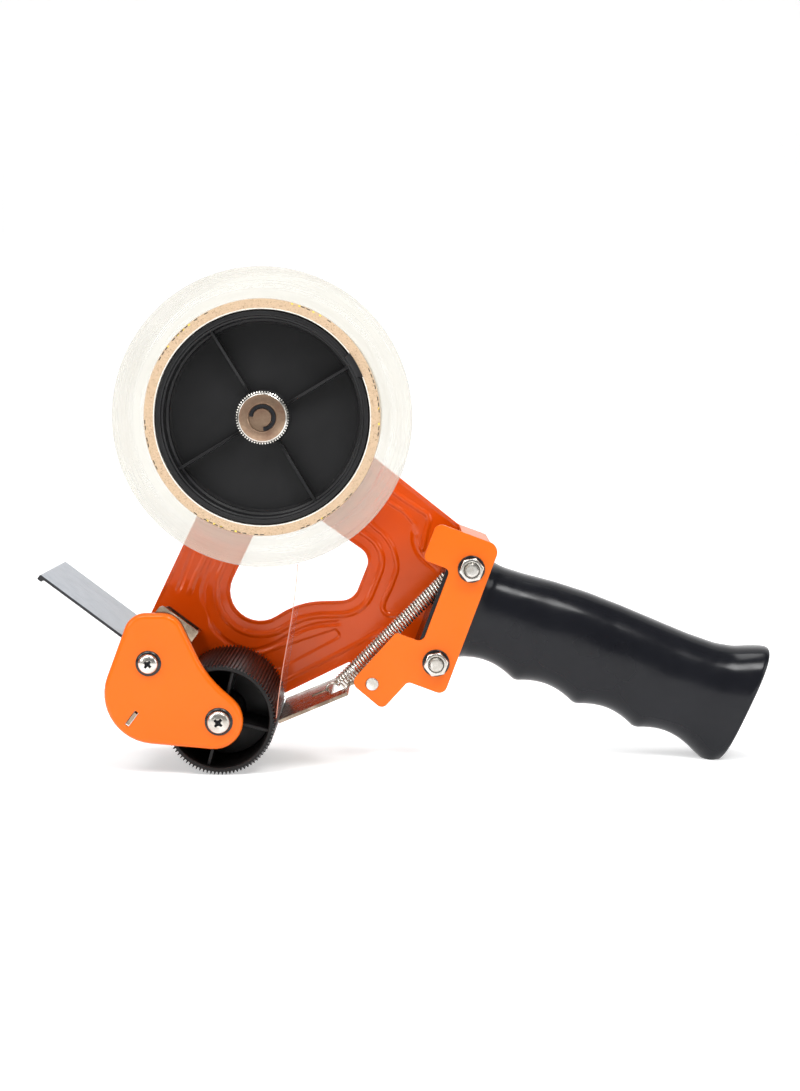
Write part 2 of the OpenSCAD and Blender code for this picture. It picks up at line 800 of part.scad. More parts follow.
module handle_washers() {
    color("black") place() for (p = grip_bolts) difference() {
        bar(p, 2 * bolt_diameter, bracket_near - washer_thickness, bracket_near);
        bar(p, bolt_diameter + 2 * touch, bracket_near - 2, bracket_near + 1);
    }
}

module handle_nuts() {
    seat = bracket_near - washer_thickness;
    color("silver") place() for (p = grip_bolts) difference() {
        hexagon(p, nut_width, seat - nut_height, seat);
        bar(p, bolt_diameter + 2 * touch, seat - nut_height - 1, seat + 1);
    }
}

side_frame();
handle_bracket();
handle();
handle_bolts();
handle_washers();
handle_nuts();
front_cover();
cover_screws();
cover_washers();
tie_rod();
roller_axle();
press_roller();
roller_bushes();
blade_bracket();
cutting_blade();
blade_rivets();
wiper_flap();
flap_holder();
flap_rivets();
retainer_arm();
pivot_pin();
tension_spring();
spindle();
friction_washer();
tape_hub();
hub_bush();
brake_spring();
thrust_washer();
tension_knob();
e_clip();
tape_core();
tape_roll();
tape_strip();
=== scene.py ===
"""Pistol-grip packing tape dispenser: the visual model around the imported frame.

Lengths are in millimetres until they are placed. A local point is (x, y, z) measured from the reel
spindle, with y = 0 at the middle of the tape, and Bench.at() moves it into the frame, in metres.
"""

import json
import logging
import math
from contextlib import contextmanager
from dataclasses import dataclass, field
from enum import Enum
from typing import Iterable, Iterator, Sequence

import bmesh
import bpy
import numpy as np
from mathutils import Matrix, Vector
from mathutils.geometry import delaunay_2d_cdt


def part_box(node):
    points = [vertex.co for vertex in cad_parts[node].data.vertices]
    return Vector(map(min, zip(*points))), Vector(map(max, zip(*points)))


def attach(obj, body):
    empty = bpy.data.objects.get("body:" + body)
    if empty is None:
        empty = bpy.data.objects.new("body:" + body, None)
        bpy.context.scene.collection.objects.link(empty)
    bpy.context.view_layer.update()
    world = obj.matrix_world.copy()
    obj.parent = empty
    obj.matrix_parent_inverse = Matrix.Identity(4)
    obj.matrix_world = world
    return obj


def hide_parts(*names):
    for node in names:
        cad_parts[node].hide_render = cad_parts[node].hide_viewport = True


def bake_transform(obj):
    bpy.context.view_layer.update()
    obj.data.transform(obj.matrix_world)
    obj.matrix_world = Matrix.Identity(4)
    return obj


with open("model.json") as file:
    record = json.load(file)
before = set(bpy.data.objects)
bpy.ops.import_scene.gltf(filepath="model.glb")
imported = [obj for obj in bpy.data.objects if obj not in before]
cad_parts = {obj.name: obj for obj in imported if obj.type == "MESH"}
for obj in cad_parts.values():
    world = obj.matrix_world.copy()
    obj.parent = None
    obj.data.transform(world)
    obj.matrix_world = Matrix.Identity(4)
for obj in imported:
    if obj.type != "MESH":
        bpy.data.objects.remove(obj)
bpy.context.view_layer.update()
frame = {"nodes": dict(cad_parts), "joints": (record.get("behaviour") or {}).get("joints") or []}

# One millimetre in metres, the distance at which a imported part's doubles are merged, and the
# angle below which its triangles count as one face.
MM = 0.001
WELD = 2e-6
FLAT = math.radians(1)
LOG = logging.getLogger("dispenser")
Point = tuple[float, float]
Corner = tuple[float, float, float]


class Side(Enum):
    """Which way along Y a part faces."""

    NEAR = -1
    FAR = 1


class Blank(Enum):
    """The two kinds of bead that a press leaves in the sheet."""

    RIDGE = 1
    GROOVE = -1


# ---------------------------------------------------------------- where things are


@dataclass(frozen=True)
class Bench:
    """Where the dispenser's axes are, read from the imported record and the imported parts."""

    spindle: Vector
    roller: Point
    screw: Point
    pin: Point
    upper_bolt: Point
    lower_bolt: Point

    @staticmethod
    def read() -> "Bench":
        """Reads every axis from the frame.

        Returns:
            The bench, with axes as (x, z) in millimetres from the spindle.
        """
        joints = {j["name"]: Vector(j["pos_m"]) for j in frame["joints"]}
        low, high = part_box("tape_roll")
        reel = joints["reel_spin"]
        spindle = Vector((reel.x, (low.y + high.y) / 2, reel.z))

        def from_spindle(p: Vector) -> Point:
            return ((p.x - spindle.x) / MM, (p.z - spindle.z) / MM)

        rod_low, rod_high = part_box("tie_rod")
        wash_low, wash_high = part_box("handle_washers")
        washer_r = Vector((5 * MM, 0, 5 * MM))
        return Bench(
            spindle=spindle,
            roller=from_spindle(joints["roller_spin"]),
            screw=from_spindle((rod_low + rod_high) / 2),
            pin=from_spindle(joints["arm_swing"]),
            upper_bolt=from_spindle(wash_high - washer_r),
            lower_bolt=from_spindle(wash_low + washer_r),
        )

    def at(self, x: float, y: float, z: float) -> Vector:
        """A local point in millimetres, as a point of the frame in metres."""
        return self.spindle + Vector((x, y, z)) * MM

    def depth(self, node: str, side: Side) -> float:
        """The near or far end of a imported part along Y, in local millimetres."""
        low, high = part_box(node)
        y = low.y if side is Side.NEAR else high.y
        return (y - self.spindle.y) / MM

    @property
    def grip_angle(self) -> float:
        """Tilt of the grip's long axis below +X, in radians."""
        dx = self.upper_bolt[0] - self.lower_bolt[0]
        dz = self.upper_bolt[1] - self.lower_bolt[1]
        return math.atan2(dx, dz)

    def grip(self, s: float, n: float) -> Point:
        """A point along (s) and across (n) the grip, as local (x, z)."""
        c, k = math.cos(self.grip_angle), math.sin(self.grip_angle)
        return (self.upper_bolt[0] + s * c + n * k, self.upper_bolt[1] - s * k + n * c)

    def blade(self, u: float, v: float) -> Point:
        """A point along (u) the blade bracket and out (v) towards the flap, as local (x, z)."""
        c, k = math.cos(BLADE_TILT), math.sin(BLADE_TILT)
        return (self.screw[0] + u * c - v * k, self.screw[1] + u * k + v * c)


# Tilt of the blade bracket above +X.
BLADE_TILT = math.radians(53)
BENCH = Bench.read()


# ---------------------------------------------------------------- outlines


def unit(v: np.ndarray) -> np.ndarray:
    """The same direction with length one."""
    return v / np.linalg.norm(v)


def inset(corners: Sequence[Corner], d: float) -> list[Corner]:
    """Moves an outline's corners inwards.

    Args:
        corners: (x, z, radius), anticlockwise.
        d: distance inwards, in millimetres.

    Returns:
        The moved corners, with radii that keep the wall even.
    """
    moved = []
    count = len(corners)
    for i, (x, z, r) in enumerate(corners):
        p = np.array((x, z))
        into = unit(p - np.array(corners[i - 1][:2]))
        out = unit(np.array(corners[(i + 1) % count][:2]) - p)
        n1, n2 = np.array((-into[1], into[0])), np.array((-out[1], out[0]))
        convex = into[0] * out[1] - into[1] * out[0] > 0
        q = p + (n1 + n2) * d / (1 + n1 @ n2)
        moved.append((q[0], q[1], max(r - d if convex else r + d, 0.05)))
    return moved


def rounded(corners: Sequence[Corner], steps: int = 9) -> list[Point]:
    """A closed outline through corners, each rounded with the same number of points."""
    points: list[Point] = []
    count = len(corners)
    for i, (x, z, r) in enumerate(corners):
        q = np.array((x, z))
        a = unit(np.array(corners[i - 1][:2]) - q)
        b = unit(np.array(corners[(i + 1) % count][:2]) - q)
        half = math.acos(float(np.clip(a @ b, -1, 1))) / 2
        centre = q + unit(a + b) * r / math.sin(half)
        first = q + a * r / math.tan(half) - centre
        last = q + b * r / math.tan(half) - centre
        start = math.atan2(first[1], first[0])
        sweep = (math.atan2(last[1], last[0]) - start + 3 * math.pi) % (2 * math.pi) - math.pi
        for k in range(steps):
            t = start + sweep * k / (steps - 1)
            points.append((centre[0] + r * math.cos(t), centre[1] + r * math.sin(t)))
    return points


def spaced(points: Sequence[Point], gap: float, closed: bool = True) -> list[Point]:
    """The same line with points no further apart than gap."""
    ring = list(points) + ([points[0]] if closed else [])
    out: list[Point] = []
    for (x0, z0), (x1, z1) in zip(ring, ring[1:]):
        n = max(1, math.ceil(math.hypot(x1 - x0, z1 - z0) / gap))
        out += [(x0 + (x1 - x0) * k / n, z0 + (z1 - z0) * k / n) for k in range(n)]
    return out if closed else out + [ring[-1]]


def flowing(points: Sequence[Point], gap: float = 0.7) -> list[Point]:
    """An open curve that runs smoothly through the points."""
    p = np.array([points[0], *points, points[-1]], float)
    out: list[Point] = []
    for a, b, c, d in zip(p, p[1:], p[2:], p[3:]):
        n = max(1, math.ceil(float(np.linalg.norm(c - b)) / gap))
        for t in np.arange(n) / n:
            q = b + 0.5 * t * (c - a + t * (2 * a - 5 * b + 4 * c - d + t * (3 * (b - c) + d - a)))
            out.append((float(q[0]), float(q[1])))
    return out + [tuple(map(float, p[-1]))]


def beside(line: Sequence[Point], offset: float, closed: bool) -> np.ndarray:
    """Points next to a line, at one signed distance from it."""
    p = np.array(line, float)
    ahead, behind = np.roll(p, -1, axis=0), np.roll(p, 1, axis=0)
    if not closed:
        ahead[-1], behind[0] = p[-1], p[0]
    along = ahead - behind
    along /= np.maximum(np.linalg.norm(along, axis=1), 1e-9)[:, None]
    moved = p + np.stack((-along[:, 1], along[:, 0]), axis=1) * offset
    return moved[distance(moved, line, closed) > abs(offset) - 0.04]


def distance(points: np.ndarray, line: Sequence[Point], closed: bool) -> np.ndarray:
    """Distance of each point from a line.

    Args:
        points: an (n, 2) array.
        line: the line's points.
        closed: whether the last point joins the first.

    Returns:
        n distances in millimetres.
    """
    a = np.array(line, float)
    b = np.roll(a, -1, axis=0) if closed else a[1:]
    a = a if closed else a[:-1]
    best = np.full(len(points), 1e9)
    for p, q in zip(a, b):
        d = q - p
        t = np.clip(((points - p) @ d) / max(d @ d, 1e-9), 0, 1)
        best = np.minimum(best, np.linalg.norm(points - p - t[:, None] * d, axis=1))
    return best


def inside(points: np.ndarray, ring: Sequence[Point]) -> np.ndarray:
    """Whether each point lies inside a closed ring."""
    poly = np.array(ring, float)
    nxt = np.roll(poly, -1, axis=0)
    x, z = points[:, 0:1], points[:, 1:2]
    crosses = (poly[:, 1] > z) != (nxt[:, 1] > z)
    rise = nxt[:, 1] - poly[:, 1]
    rise = np.where(np.abs(rise) < 1e-12, 1e-12, rise)
    hit = x < (nxt[:, 0] - poly[:, 0]) * (z - poly[:, 1]) / rise + poly[:, 0]
    return (crosses & hit).sum(1) % 2 == 1


def smooth(t: np.ndarray) -> np.ndarray:
    """A smooth step from 0 to 1."""
    t = np.clip(t, 0, 1)
    return t * t * (3 - 2 * t)


# ---------------------------------------------------------------- meshes


def linked(name: str, data: bpy.types.ID) -> bpy.types.Object:
    """A new object in the scene that holds the data."""
    obj = bpy.data.objects.new(name, data)
    bpy.context.scene.collection.objects.link(obj)
    return obj


@contextmanager
def editing(obj: bpy.types.Object) -> Iterator[bmesh.types.BMesh]:
    """Opens an object's mesh for editing, and writes it back."""
    bm = bmesh.new()
    bm.from_mesh(obj.data)
    yield bm
    bm.to_mesh(obj.data)
    bm.free()


def new_object(name: str, verts: Iterable[Vector],
               faces: Iterable[Sequence[int]]) -> bpy.types.Object:
    """Makes a mesh object whose place is in its mesh.

    Args:
        name: the object's name.
        verts: points in metres.
        faces: point numbers of each face.

    Returns:
        The linked object.
    """
    mesh = bpy.data.meshes.new(name)
    mesh.from_pydata([tuple(v) for v in verts], [], [tuple(f) for f in faces])
    mesh.update()
    return linked(name, mesh)


def outwards(obj: bpy.types.Object, merge: float = 1e-6) -> bpy.types.Object:
    """Merges doubles and turns a closed mesh's faces outwards."""
    with editing(obj) as bm:
        bmesh.ops.remove_doubles(bm, verts=bm.verts, dist=merge)
        bmesh.ops.recalc_face_normals(bm, faces=bm.faces)
    return obj


def shade(obj: bpy.types.Object, sharp: float = 35) -> bpy.types.Object:
    """Smooth shading, with edges sharper than the angle in degrees kept sharp."""
    obj.data.shade_smooth()
    obj.data.set_sharp_from_angle(angle=math.radians(sharp))
    return obj


def settled(obj: bpy.types.Object) -> bpy.types.Object:
    """Turns the object's modifiers into its mesh."""
    bpy.context.view_layer.update()
    graph = bpy.context.evaluated_depsgraph_get()
    mesh = bpy.data.meshes.new_from_object(obj.evaluated_get(graph), depsgraph=graph)
    obj.modifiers.clear()
    obj.data = mesh
    return obj


def joined(name: str, objects: Sequence[bpy.types.Object]) -> bpy.types.Object:
    """One object made of several, in the order given; the material slots follow."""
    bm = bmesh.new()
    materials: list[bpy.types.Material] = []
    for o in objects:
        part = bmesh.new()
        part.from_mesh(o.data)
        slots = []
        for m in o.data.materials:
            if m not in materials:
                materials.append(m)
            slots.append(materials.index(m))
        for f in part.faces:
            f.material_index = slots[f.material_index] if slots else 0
        scratch = bpy.data.meshes.new("scratch")
        part.to_mesh(scratch)
        part.free()
        bm.from_mesh(scratch)
        bpy.data.meshes.remove(scratch)
    mesh = bpy.data.meshes.new(name)
    bm.to_mesh(mesh)
    bm.free()
    for m in materials:
        mesh.materials.append(m)
    for o in objects:
        bpy.data.objects.remove(o)
    return linked(name, mesh)


def lathe(name: str, profile: Sequence[Point], axis: Point, segments: int = 96,
          closed: bool = True) -> bpy.types.Object:
    """Turns a profile round an axis along Y.

    Args:
        name: the object's name.
        profile: (radius, y) in millimetres.
        axis: local (x, z) of the axis.
        segments: steps round the axis.
        closed: whether the profile's last point joins the first.

    Returns:
        The turned object, with its faces outwards.
    """
    verts = []
    for k in range(segments):
        a = 2 * math.pi * k / segments
        verts += [BENCH.at(axis[0] + r * math.cos(a), y, axis[1] + r * math.sin(a))
                  for r, y in profile]
    n = len(profile)
    faces = []
    for k in range(segments):
        m = (k + 1) % segments
        for i in range(n if closed else n - 1):
            j = (i + 1) % n
            faces.append((k * n + i, m * n + i, m * n + j, k * n + j))
    obj = new_object(name, verts, faces)
    with editing(obj) as bm:
        bmesh.ops.remove_doubles(bm, verts=bm.verts, dist=1e-7)
        bmesh.ops.dissolve_degenerate(bm, edges=bm.edges, dist=1e-8)
        bmesh.ops.recalc_face_normals(bm, faces=bm.faces)
    return obj


def prism(name: str, first: Sequence[Vector], second: Sequence[Vector]) -> bpy.types.Object:
    """A solid between two rings with the same number of points."""
    n = len(first)
    faces: list[Sequence[int]] = [list(range(n)), list(range(2 * n - 1, n - 1, -1))]
    faces += [(i, n + i, n + (i + 1) % n, (i + 1) % n) for i in range(n)]
    return outwards(new_object(name, [*first, *second], faces))


def slab(name: str, outline: Sequence[Point], near: float, far: float) -> bpy.types.Object:
    """A plate with an outline in the frame's plane, between two depths."""
    return prism(name, *([BENCH.at(x, y, z) for x, z in outline] for y in (near, far)))


def bands(count: int, rings: int) -> list[tuple[int, int, int, int]]:
    """The faces between neighbouring rings of points, where each ring has the same count."""
    return [(r * count + i, r * count + (i + 1) % count, (r + 1) * count + (i + 1) % count,
             (r + 1) * count + i) for r in range(rings - 1) for i in range(count)]


def bevelled(obj: bpy.types.Object, width: float, segments: int = 3,
             angle: float = 30) -> bpy.types.Object:
    """Rounds an object's sharp edges by a width in millimetres."""
    mod = obj.modifiers.new("Edge rounding", "BEVEL")
    mod.width = width * MM
    mod.segments = segments
    mod.limit_method = "ANGLE"
    mod.angle_limit = math.radians(angle)
    mod.miter_outer = "MITER_ARC"
    settled(obj)
    weigh = obj.modifiers.new("Even normals", "WEIGHTED_NORMAL")
    weigh.keep_sharp = True
    shade(obj, 42)
    return settled(obj)


def copied(node: str, name: str) -> bpy.types.Object:
    """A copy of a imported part, without its finish."""
    obj = linked(name, frame["nodes"][node].data.copy())
    obj.data.materials.clear()
    return obj


def softened(node: str, name: str, width: float, segments: int = 2) -> bpy.types.Object:
    """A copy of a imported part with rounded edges, which replaces it."""
    obj = copied(node, name)
    with editing(obj) as bm:
        bmesh.ops.remove_doubles(bm, verts=bm.verts, dist=WELD)
        bmesh.ops.dissolve_limit(bm, angle_limit=FLAT, verts=bm.verts, edges=bm.edges)
    return bevelled(obj, width, segments)


def cut(obj: bpy.types.Object, tool: bpy.types.Object,
        operation: str = "DIFFERENCE") -> bpy.types.Object:
    """Takes the tool's shape out of an object, or keeps what both share, and removes the tool."""
    mod = obj.modifiers.new("Cut", "BOOLEAN")
    mod.operation = operation
    mod.solver = "EXACT"
    mod.object = tool
    settled(obj)
    bpy.data.objects.remove(tool)
    return obj


def finish_piece(obj: bpy.types.Object, body: str, nodes: Sequence[str] = ()) -> bpy.types.Object:
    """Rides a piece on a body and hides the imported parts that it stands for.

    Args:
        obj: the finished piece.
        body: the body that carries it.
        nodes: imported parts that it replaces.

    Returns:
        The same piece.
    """
    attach(obj, body)
    if nodes:
        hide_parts(*nodes)
    LOG.info("%s: %d faces on %s", obj.name, len(obj.data.polygons), body)
    return obj


# ---------------------------------------------------------------- node trees

# What a node's input takes: a number, a tuple, a material or another node's output.
Setting = object


class Graph:
    """A node tree that is being built."""

    def __init__(self, tree: bpy.types.NodeTree) -> None:
        self.tree = tree

    def add(self, kind: str, inputs: dict[str | int, Setting] | None = None,
            **settings: Setting) -> bpy.types.Node:
        """Adds a node.

        Args:
            kind: Blender's name of the node type.
            inputs: values or output sockets for its inputs, by name or number.
            **settings: the node's own properties.

        Returns:
            The new node.
        """
        node = self.tree.nodes.new(kind)
        for key, value in settings.items():
            setattr(node, key, value)
        for key, value in (inputs or {}).items():
            if isinstance(value, bpy.types.NodeSocket):
                self.tree.links.new(value, node.inputs[key])
            else:
                node.inputs[key].default_value = value
        return node

    def math(self, operation: str, a: Setting, b: Setting = 0.0) -> bpy.types.NodeSocket:
        """The result of a two-number operation."""
        return self.add("ShaderNodeMath", {0: a, 1: b}, operation=operation).outputs[0]

    def noise(self, vector: Setting, scale: float, detail: float = 2.0,
              rough: float = 0.5) -> bpy.types.NodeSocket:
        """The strength of a noise pattern, from 0 to 1."""
        node = self.add("ShaderNodeTexNoise", {"Vector": vector, "Scale": scale, "Detail": detail,
                                               "Roughness": rough})
        return node.outputs["Fac"]

    def mix(self, fac: Setting, a: Setting, b: Sequence[float]) -> bpy.types.NodeSocket:
        """A colour that runs from a to b as fac goes from 0 to 1."""
        return self.add("ShaderNodeMix", {"Factor": fac, 6: a, 7: (*b, 1)},
                        data_type="RGBA").outputs[2]

    def ramp(self, fac: Setting, low: float, high: float, a: Sequence[float],
             b: Sequence[float]) -> bpy.types.NodeSocket:
        """A colour that runs from a to b as fac goes from low to high."""
        node = self.add("ShaderNodeValToRGB", {"Fac": fac})
        node.color_ramp.elements[0].position = low
        node.color_ramp.elements[1].position = high
        node.color_ramp.elements[0].color = (*a, 1)
        node.color_ramp.elements[1].color = (*b, 1)
        return node.outputs["Color"]

    def span(self, fac: Setting, low: float, high: float, a: float,
             b: float) -> bpy.types.NodeSocket:
        """A number that runs from a to b as fac goes from low to high."""
        return self.add("ShaderNodeMapRange", {"Value": fac, "From Min": low, "From Max": high,
                                               "To Min": a, "To Max": b}).outputs["Result"]


class Surface:
    """A material with one Principled shader, built on Object coordinates."""

    def __init__(self, name: str) -> None:
        self.material = bpy.data.materials.new(name)
        self.material.use_nodes = True
        tree = self.material.node_tree
        self.graph = Graph(tree)
        self.shader = tree.nodes["Principled BSDF"]
        self.coords = self.graph.add("ShaderNodeTexCoord").outputs["Object"]

    def set(self, **values: Setting) -> "Surface":
        """Sets or links the shader's inputs, with _ for a space in a name."""
        for key, value in values.items():
            socket = self.shader.inputs[key.replace("_", " ")]
            if isinstance(value, bpy.types.NodeSocket):
                self.graph.tree.links.new(value, socket)
            else:
                socket.default_value = value
        return self

    def moved(self, origin: Vector, scale: Sequence[float] = (1, 1, 1)) -> bpy.types.NodeSocket:
        """Object coordinates measured from a point, and stretched."""
        shift = [-o * k for o, k in zip(origin, scale)]
        node = self.graph.add("ShaderNodeMapping",
                              {"Vector": self.coords, "Location": shift, "Scale": scale})
        return node.outputs["Vector"]

    def stretched(self, *scale: float) -> bpy.types.NodeSocket:
        """Object coordinates stretched along x, y and z."""
        return self.moved(Vector((0, 0, 0)), scale)

    def radius(self, origin: Vector) -> bpy.types.NodeSocket:
        """Distance from an axis along Y through a point."""
        parts = self.graph.add("ShaderNodeSeparateXYZ", {"Vector": self.moved(origin)}).outputs
        squares = self.graph.math("ADD", self.graph.math("MULTIPLY", parts["X"], parts["X"]),
                                  self.graph.math("MULTIPLY", parts["Z"], parts["Z"]))
        return self.graph.math("SQRT", squares)

    def bump(self, *layers: tuple[Setting, float]) -> "Surface":
        """Adds surface relief.

        Args:
            *layers: pairs of a height pattern and its depth in millimetres.

        Returns:
            The same surface.
        """
        normal: Setting = None
        for height, depth in layers:
            node = self.graph.add("ShaderNodeBump",
                                  {"Height": height, "Distance": depth * MM, "Strength": 1.0})
            if normal is not None:
                self.graph.tree.links.new(normal, node.inputs["Normal"])
            normal = node.outputs["Normal"]
        return self.set(Normal=normal)


def linear(r: int, g: int, b: int) -> tuple[float, float, float]:
    """A colour given as 0 to 255 display values, as linear light."""
    def one(v: float) -> float:
        v /= 255
        return v / 12.92 if v <= 0.04045 else ((v + 0.055) / 1.055) ** 2.4
    return (one(r), one(g), one(b))


# ---------------------------------------------------------------- finishes


@dataclass(frozen=True)
class Finish:
    """A named finish, whose kinds set up their own nodes."""

    name: str

    def build(self) -> bpy.types.Material:
        """Builds the material.

        Returns:
            The material, with one Principled shader.
        """
        s = Surface(self.name)
        self.paint(s, s.graph)
        return s.material

    def paint(self, s: Surface, g: Graph) -> None:
        """Sets up the material's nodes.

        Args:
            s: the material's surface.
            g: the surface's node tree.
        """
        raise NotImplementedError


@dataclass(frozen=True)
class StovedPaint(Finish):
    """Glossy stoved paint on pressed steel: soft mottle, orange peel and a few dust specks."""

    color: tuple[float, float, float]
    deep: tuple[float, float, float]
    roughness: float = 0.3
    coat: float = 0.35

    def paint(self, s: Surface, g: Graph) -> None:
        """Sets up the material's nodes."""
        mottle = g.noise(s.coords, 24, 2)
        specks = g.noise(s.coords, 1500, 1)
        peel = g.noise(s.coords, 480, 2)
        scuff = g.noise(s.coords, 90, 4, 0.6)
        base = g.ramp(mottle, 0.35, 0.68, self.color, self.deep)
        dusty = g.mix(g.span(specks, 0.74, 0.8, 0, 0.3), base,
                      [min(1, c * 1.25) for c in self.color])
        s.set(Base_Color=dusty,
              Roughness=g.span(scuff, 0.4, 0.75, self.roughness, self.roughness + 0.08),
              Specular_Tint=(1, 0.62, 0.4, 1), Coat_Weight=self.coat, Coat_Roughness=0.08,
              Coat_Tint=(1, 0.8, 0.65, 1), IOR=1.5)
        s.bump((peel, 0.003))


@dataclass(frozen=True)
class MouldedPlastic(Finish):
    """Moulded plastic with a fine spark-eroded grain, flow marks and faint scuffs."""

    color: tuple[float, float, float]
    roughness: float = 0.4
    grain: float = 0.012
    scuff: float = 0.06
    gloss_ior: float = 1.5
    coat: float = 0.0

    def paint(self, s: Surface, g: Graph) -> None:
        """Sets up the material's nodes."""
        fine = g.noise(s.coords, 2600, 2)
        flow = g.noise(s.coords, 34, 3)
        marks = g.noise(s.coords, 210, 5, 0.65)
        lighter = tuple(c + self.scuff * 0.5 for c in self.color)
        base = g.ramp(flow, 0.3, 0.75, self.color, tuple(c * 1.25 + 0.002 for c in self.color))
        worn = g.mix(g.span(marks, 0.66, 0.8, 0, 0.3), base, lighter)
        s.set(Base_Color=worn,
              Roughness=g.span(marks, 0.35, 0.75, self.roughness, self.roughness + 0.12),
              IOR=self.gloss_ior, Coat_Weight=self.coat, Coat_Roughness=0.08)
        s.bump((fine, self.grain))


@dataclass(frozen=True)
class PlatedSteel(Finish):
    """Bright plated steel: cloudy plating, drawing lines and a slightly rougher bloom."""

    color: tuple[float, float, float]
    bloom: tuple[float, float, float]
    roughness: float = 0.18
    lines: tuple[float, float, float] = (1, 14, 1)
    relief: float = 0.006

    def paint(self, s: Surface, g: Graph) -> None:
        """Sets up the material's nodes."""
        cloud = g.noise(s.coords, 210, 4, 0.6)
        drawn = g.noise(s.stretched(*self.lines), 420, 3, 0.7)
        base = g.ramp(cloud, 0.38, 0.66, self.color, self.bloom)
        s.set(Base_Color=base, Metallic=1.0,
              Roughness=g.span(cloud, 0.3, 0.75, self.roughness, self.roughness + 0.2))
        s.bump((drawn, self.relief), (cloud, self.relief * 0.8))


@dataclass(frozen=True)
class Paperboard(Finish):
    """Grey-brown paperboard with fibres and flecks; its plies show on the cut end."""

    color: tuple[float, float, float]
    fleck: tuple[float, float, float]

    def paint(self, s: Surface, g: Graph) -> None:
        """Sets up the material's nodes."""
        flecks = g.noise(s.coords, 2300, 3, 0.7)
        fibres = g.noise(s.stretched(1, 1, 3), 700, 4, 0.7)
        plies = g.noise(g.add("ShaderNodeCombineXYZ", {"X": s.radius(BENCH.spindle)}).outputs[0],
                        1500, 1)
        base = g.ramp(fibres, 0.3, 0.72, self.color, tuple(c * 0.78 for c in self.color))
        spotted = g.mix(g.span(flecks, 0.56, 0.66, 0, 0.75), base, self.fleck)
        s.set(Base_Color=spotted, Roughness=0.92, Sheen_Weight=0.15)
        s.bump((fibres, 0.05), (flecks, 0.04), (plies, 0.06))


@dataclass(frozen=True)
class WoundFilm(Finish):
    """The edge of wound clear film: creamy, see-through in part, with fine turns."""

    color: tuple[float, float, float]
    shade: tuple[float, float, float]
    alpha: float

    def paint(self, s: Surface, g: Graph) -> None:
        """Sets up the material's nodes."""
        r = g.add("ShaderNodeCombineXYZ", {"X": s.radius(BENCH.spindle)}).outputs[0]
        turns = g.noise(r, 1900, 3, 0.75)
        bands = g.noise(r, 420, 2)
        cloud = g.noise(s.coords, 26, 2)
        tone = g.math("ADD", g.math("MULTIPLY", turns, 0.35),
                      g.math("ADD", g.math("MULTIPLY", bands, 0.4),
                             g.math("MULTIPLY", cloud, 0.25)))
        s.set(Base_Color=g.ramp(tone, 0.36, 0.64, self.color, self.shade),
              Roughness=g.span(turns, 0.3, 0.7, 0.3, 0.5),
              Alpha=g.span(tone, 0.35, 0.65, self.alpha * 0.75, self.alpha * 1.35), IOR=1.35)
        s.bump((turns, 0.01), (bands, 0.02))


@dataclass(frozen=True)
class ClearFilm(Finish):
    """A single clear film with faint lengthwise stretch marks."""

    color: tuple[float, float, float]
    alpha: float

    def paint(self, s: Surface, g: Graph) -> None:
        """Sets up the material's nodes."""
        marks = g.noise(s.stretched(1, 6, 0.3), 300, 3, 0.6)
        s.set(Base_Color=g.ramp(marks, 0.3, 0.7, self.color, tuple(c * 0.9 for c in self.color)),
              Roughness=g.span(marks, 0.3, 0.7, 0.05, 0.16), Alpha=self.alpha, IOR=1.47)
        s.bump((marks, 0.02))


@dataclass(frozen=True)
class Felt(Finish):
    """Matted wool felt."""

    color: tuple[float, float, float]

    def paint(self, s: Surface, g: Graph) -> None:
        """Sets up the material's nodes."""
        wool = g.noise(s.coords, 1500, 5, 0.75)
        s.set(Base_Color=g.ramp(wool, 0.3, 0.7, self.color, tuple(c * 0.5 for c in self.color)),
              Roughness=0.95, Sheen_Weight=0.5)
        s.bump((wool, 0.15))


FRAME_PAINT = StovedPaint("frame_paint", (0.9, 0.098, 0.001), (0.78, 0.076, 0.001), 0.2, 0.4)
COVER_PAINT = StovedPaint("cover_paint", (0.85, 0.15, 0.004), (0.83, 0.14, 0.003), 0.3, 0.2)
GRIP_PLASTIC = MouldedPlastic("grip_plastic", linear(17, 18, 23), 0.15, 0.0006, 0.003, 1.34)
ROLLER_PLASTIC = MouldedPlastic("roller_plastic", linear(19, 17, 17), 0.3, 0.003, 0.008, 1.34)
HUB_PLASTIC = MouldedPlastic("hub_plastic", linear(26, 26, 27), 0.34, 0.004, 0.03, 1.36)
NYLON = MouldedPlastic("nylon", linear(228, 222, 208), 0.45, 0.01, 0.0)
# The flap is black glossy plastic: the blue-grey of its upper face is a painted reflection of the
# bright surroundings, and FLAP_EDGE holds its own black.
FLAP_TOP_PAINTED_REFLECTION = MouldedPlastic("flap_plastic", linear(96, 106, 122), 0.16, 0.001, 0.01, 1.7, 0.6)
FLAP_EDGE = MouldedPlastic("flap_edge", linear(26, 26, 29), 0.3, 0.002, 0.01)
ZINC = PlatedSteel("zinc", (0.74, 0.72, 0.68), (0.5, 0.47, 0.42), 0.16)
BLACK_ZINC = MouldedPlastic("black_zinc", linear(22, 21, 21), 0.2, 0.004, 0.03, 1.5)
# The plated arm, blade carrier and flap holder get a dark brown base colour: a painted reflection
# of the orange frame in the plating, darker and browner than the bare metal.
NICKEL_PAINTED_REFLECTION = PlatedSteel("nickel", (0.36, 0.29, 0.22), (0.2, 0.15, 0.11), 0.13, (1, 5, 1), 0.001)
KNOB_NICKEL = PlatedSteel("knob_nickel", (0.42, 0.29, 0.2), (0.26, 0.16, 0.11), 0.3, (1, 1, 1),
                          0.03)
BLADE_STEEL = PlatedSteel("blade_steel", (0.62, 0.62, 0.64), (0.4, 0.4, 0.42), 0.28)
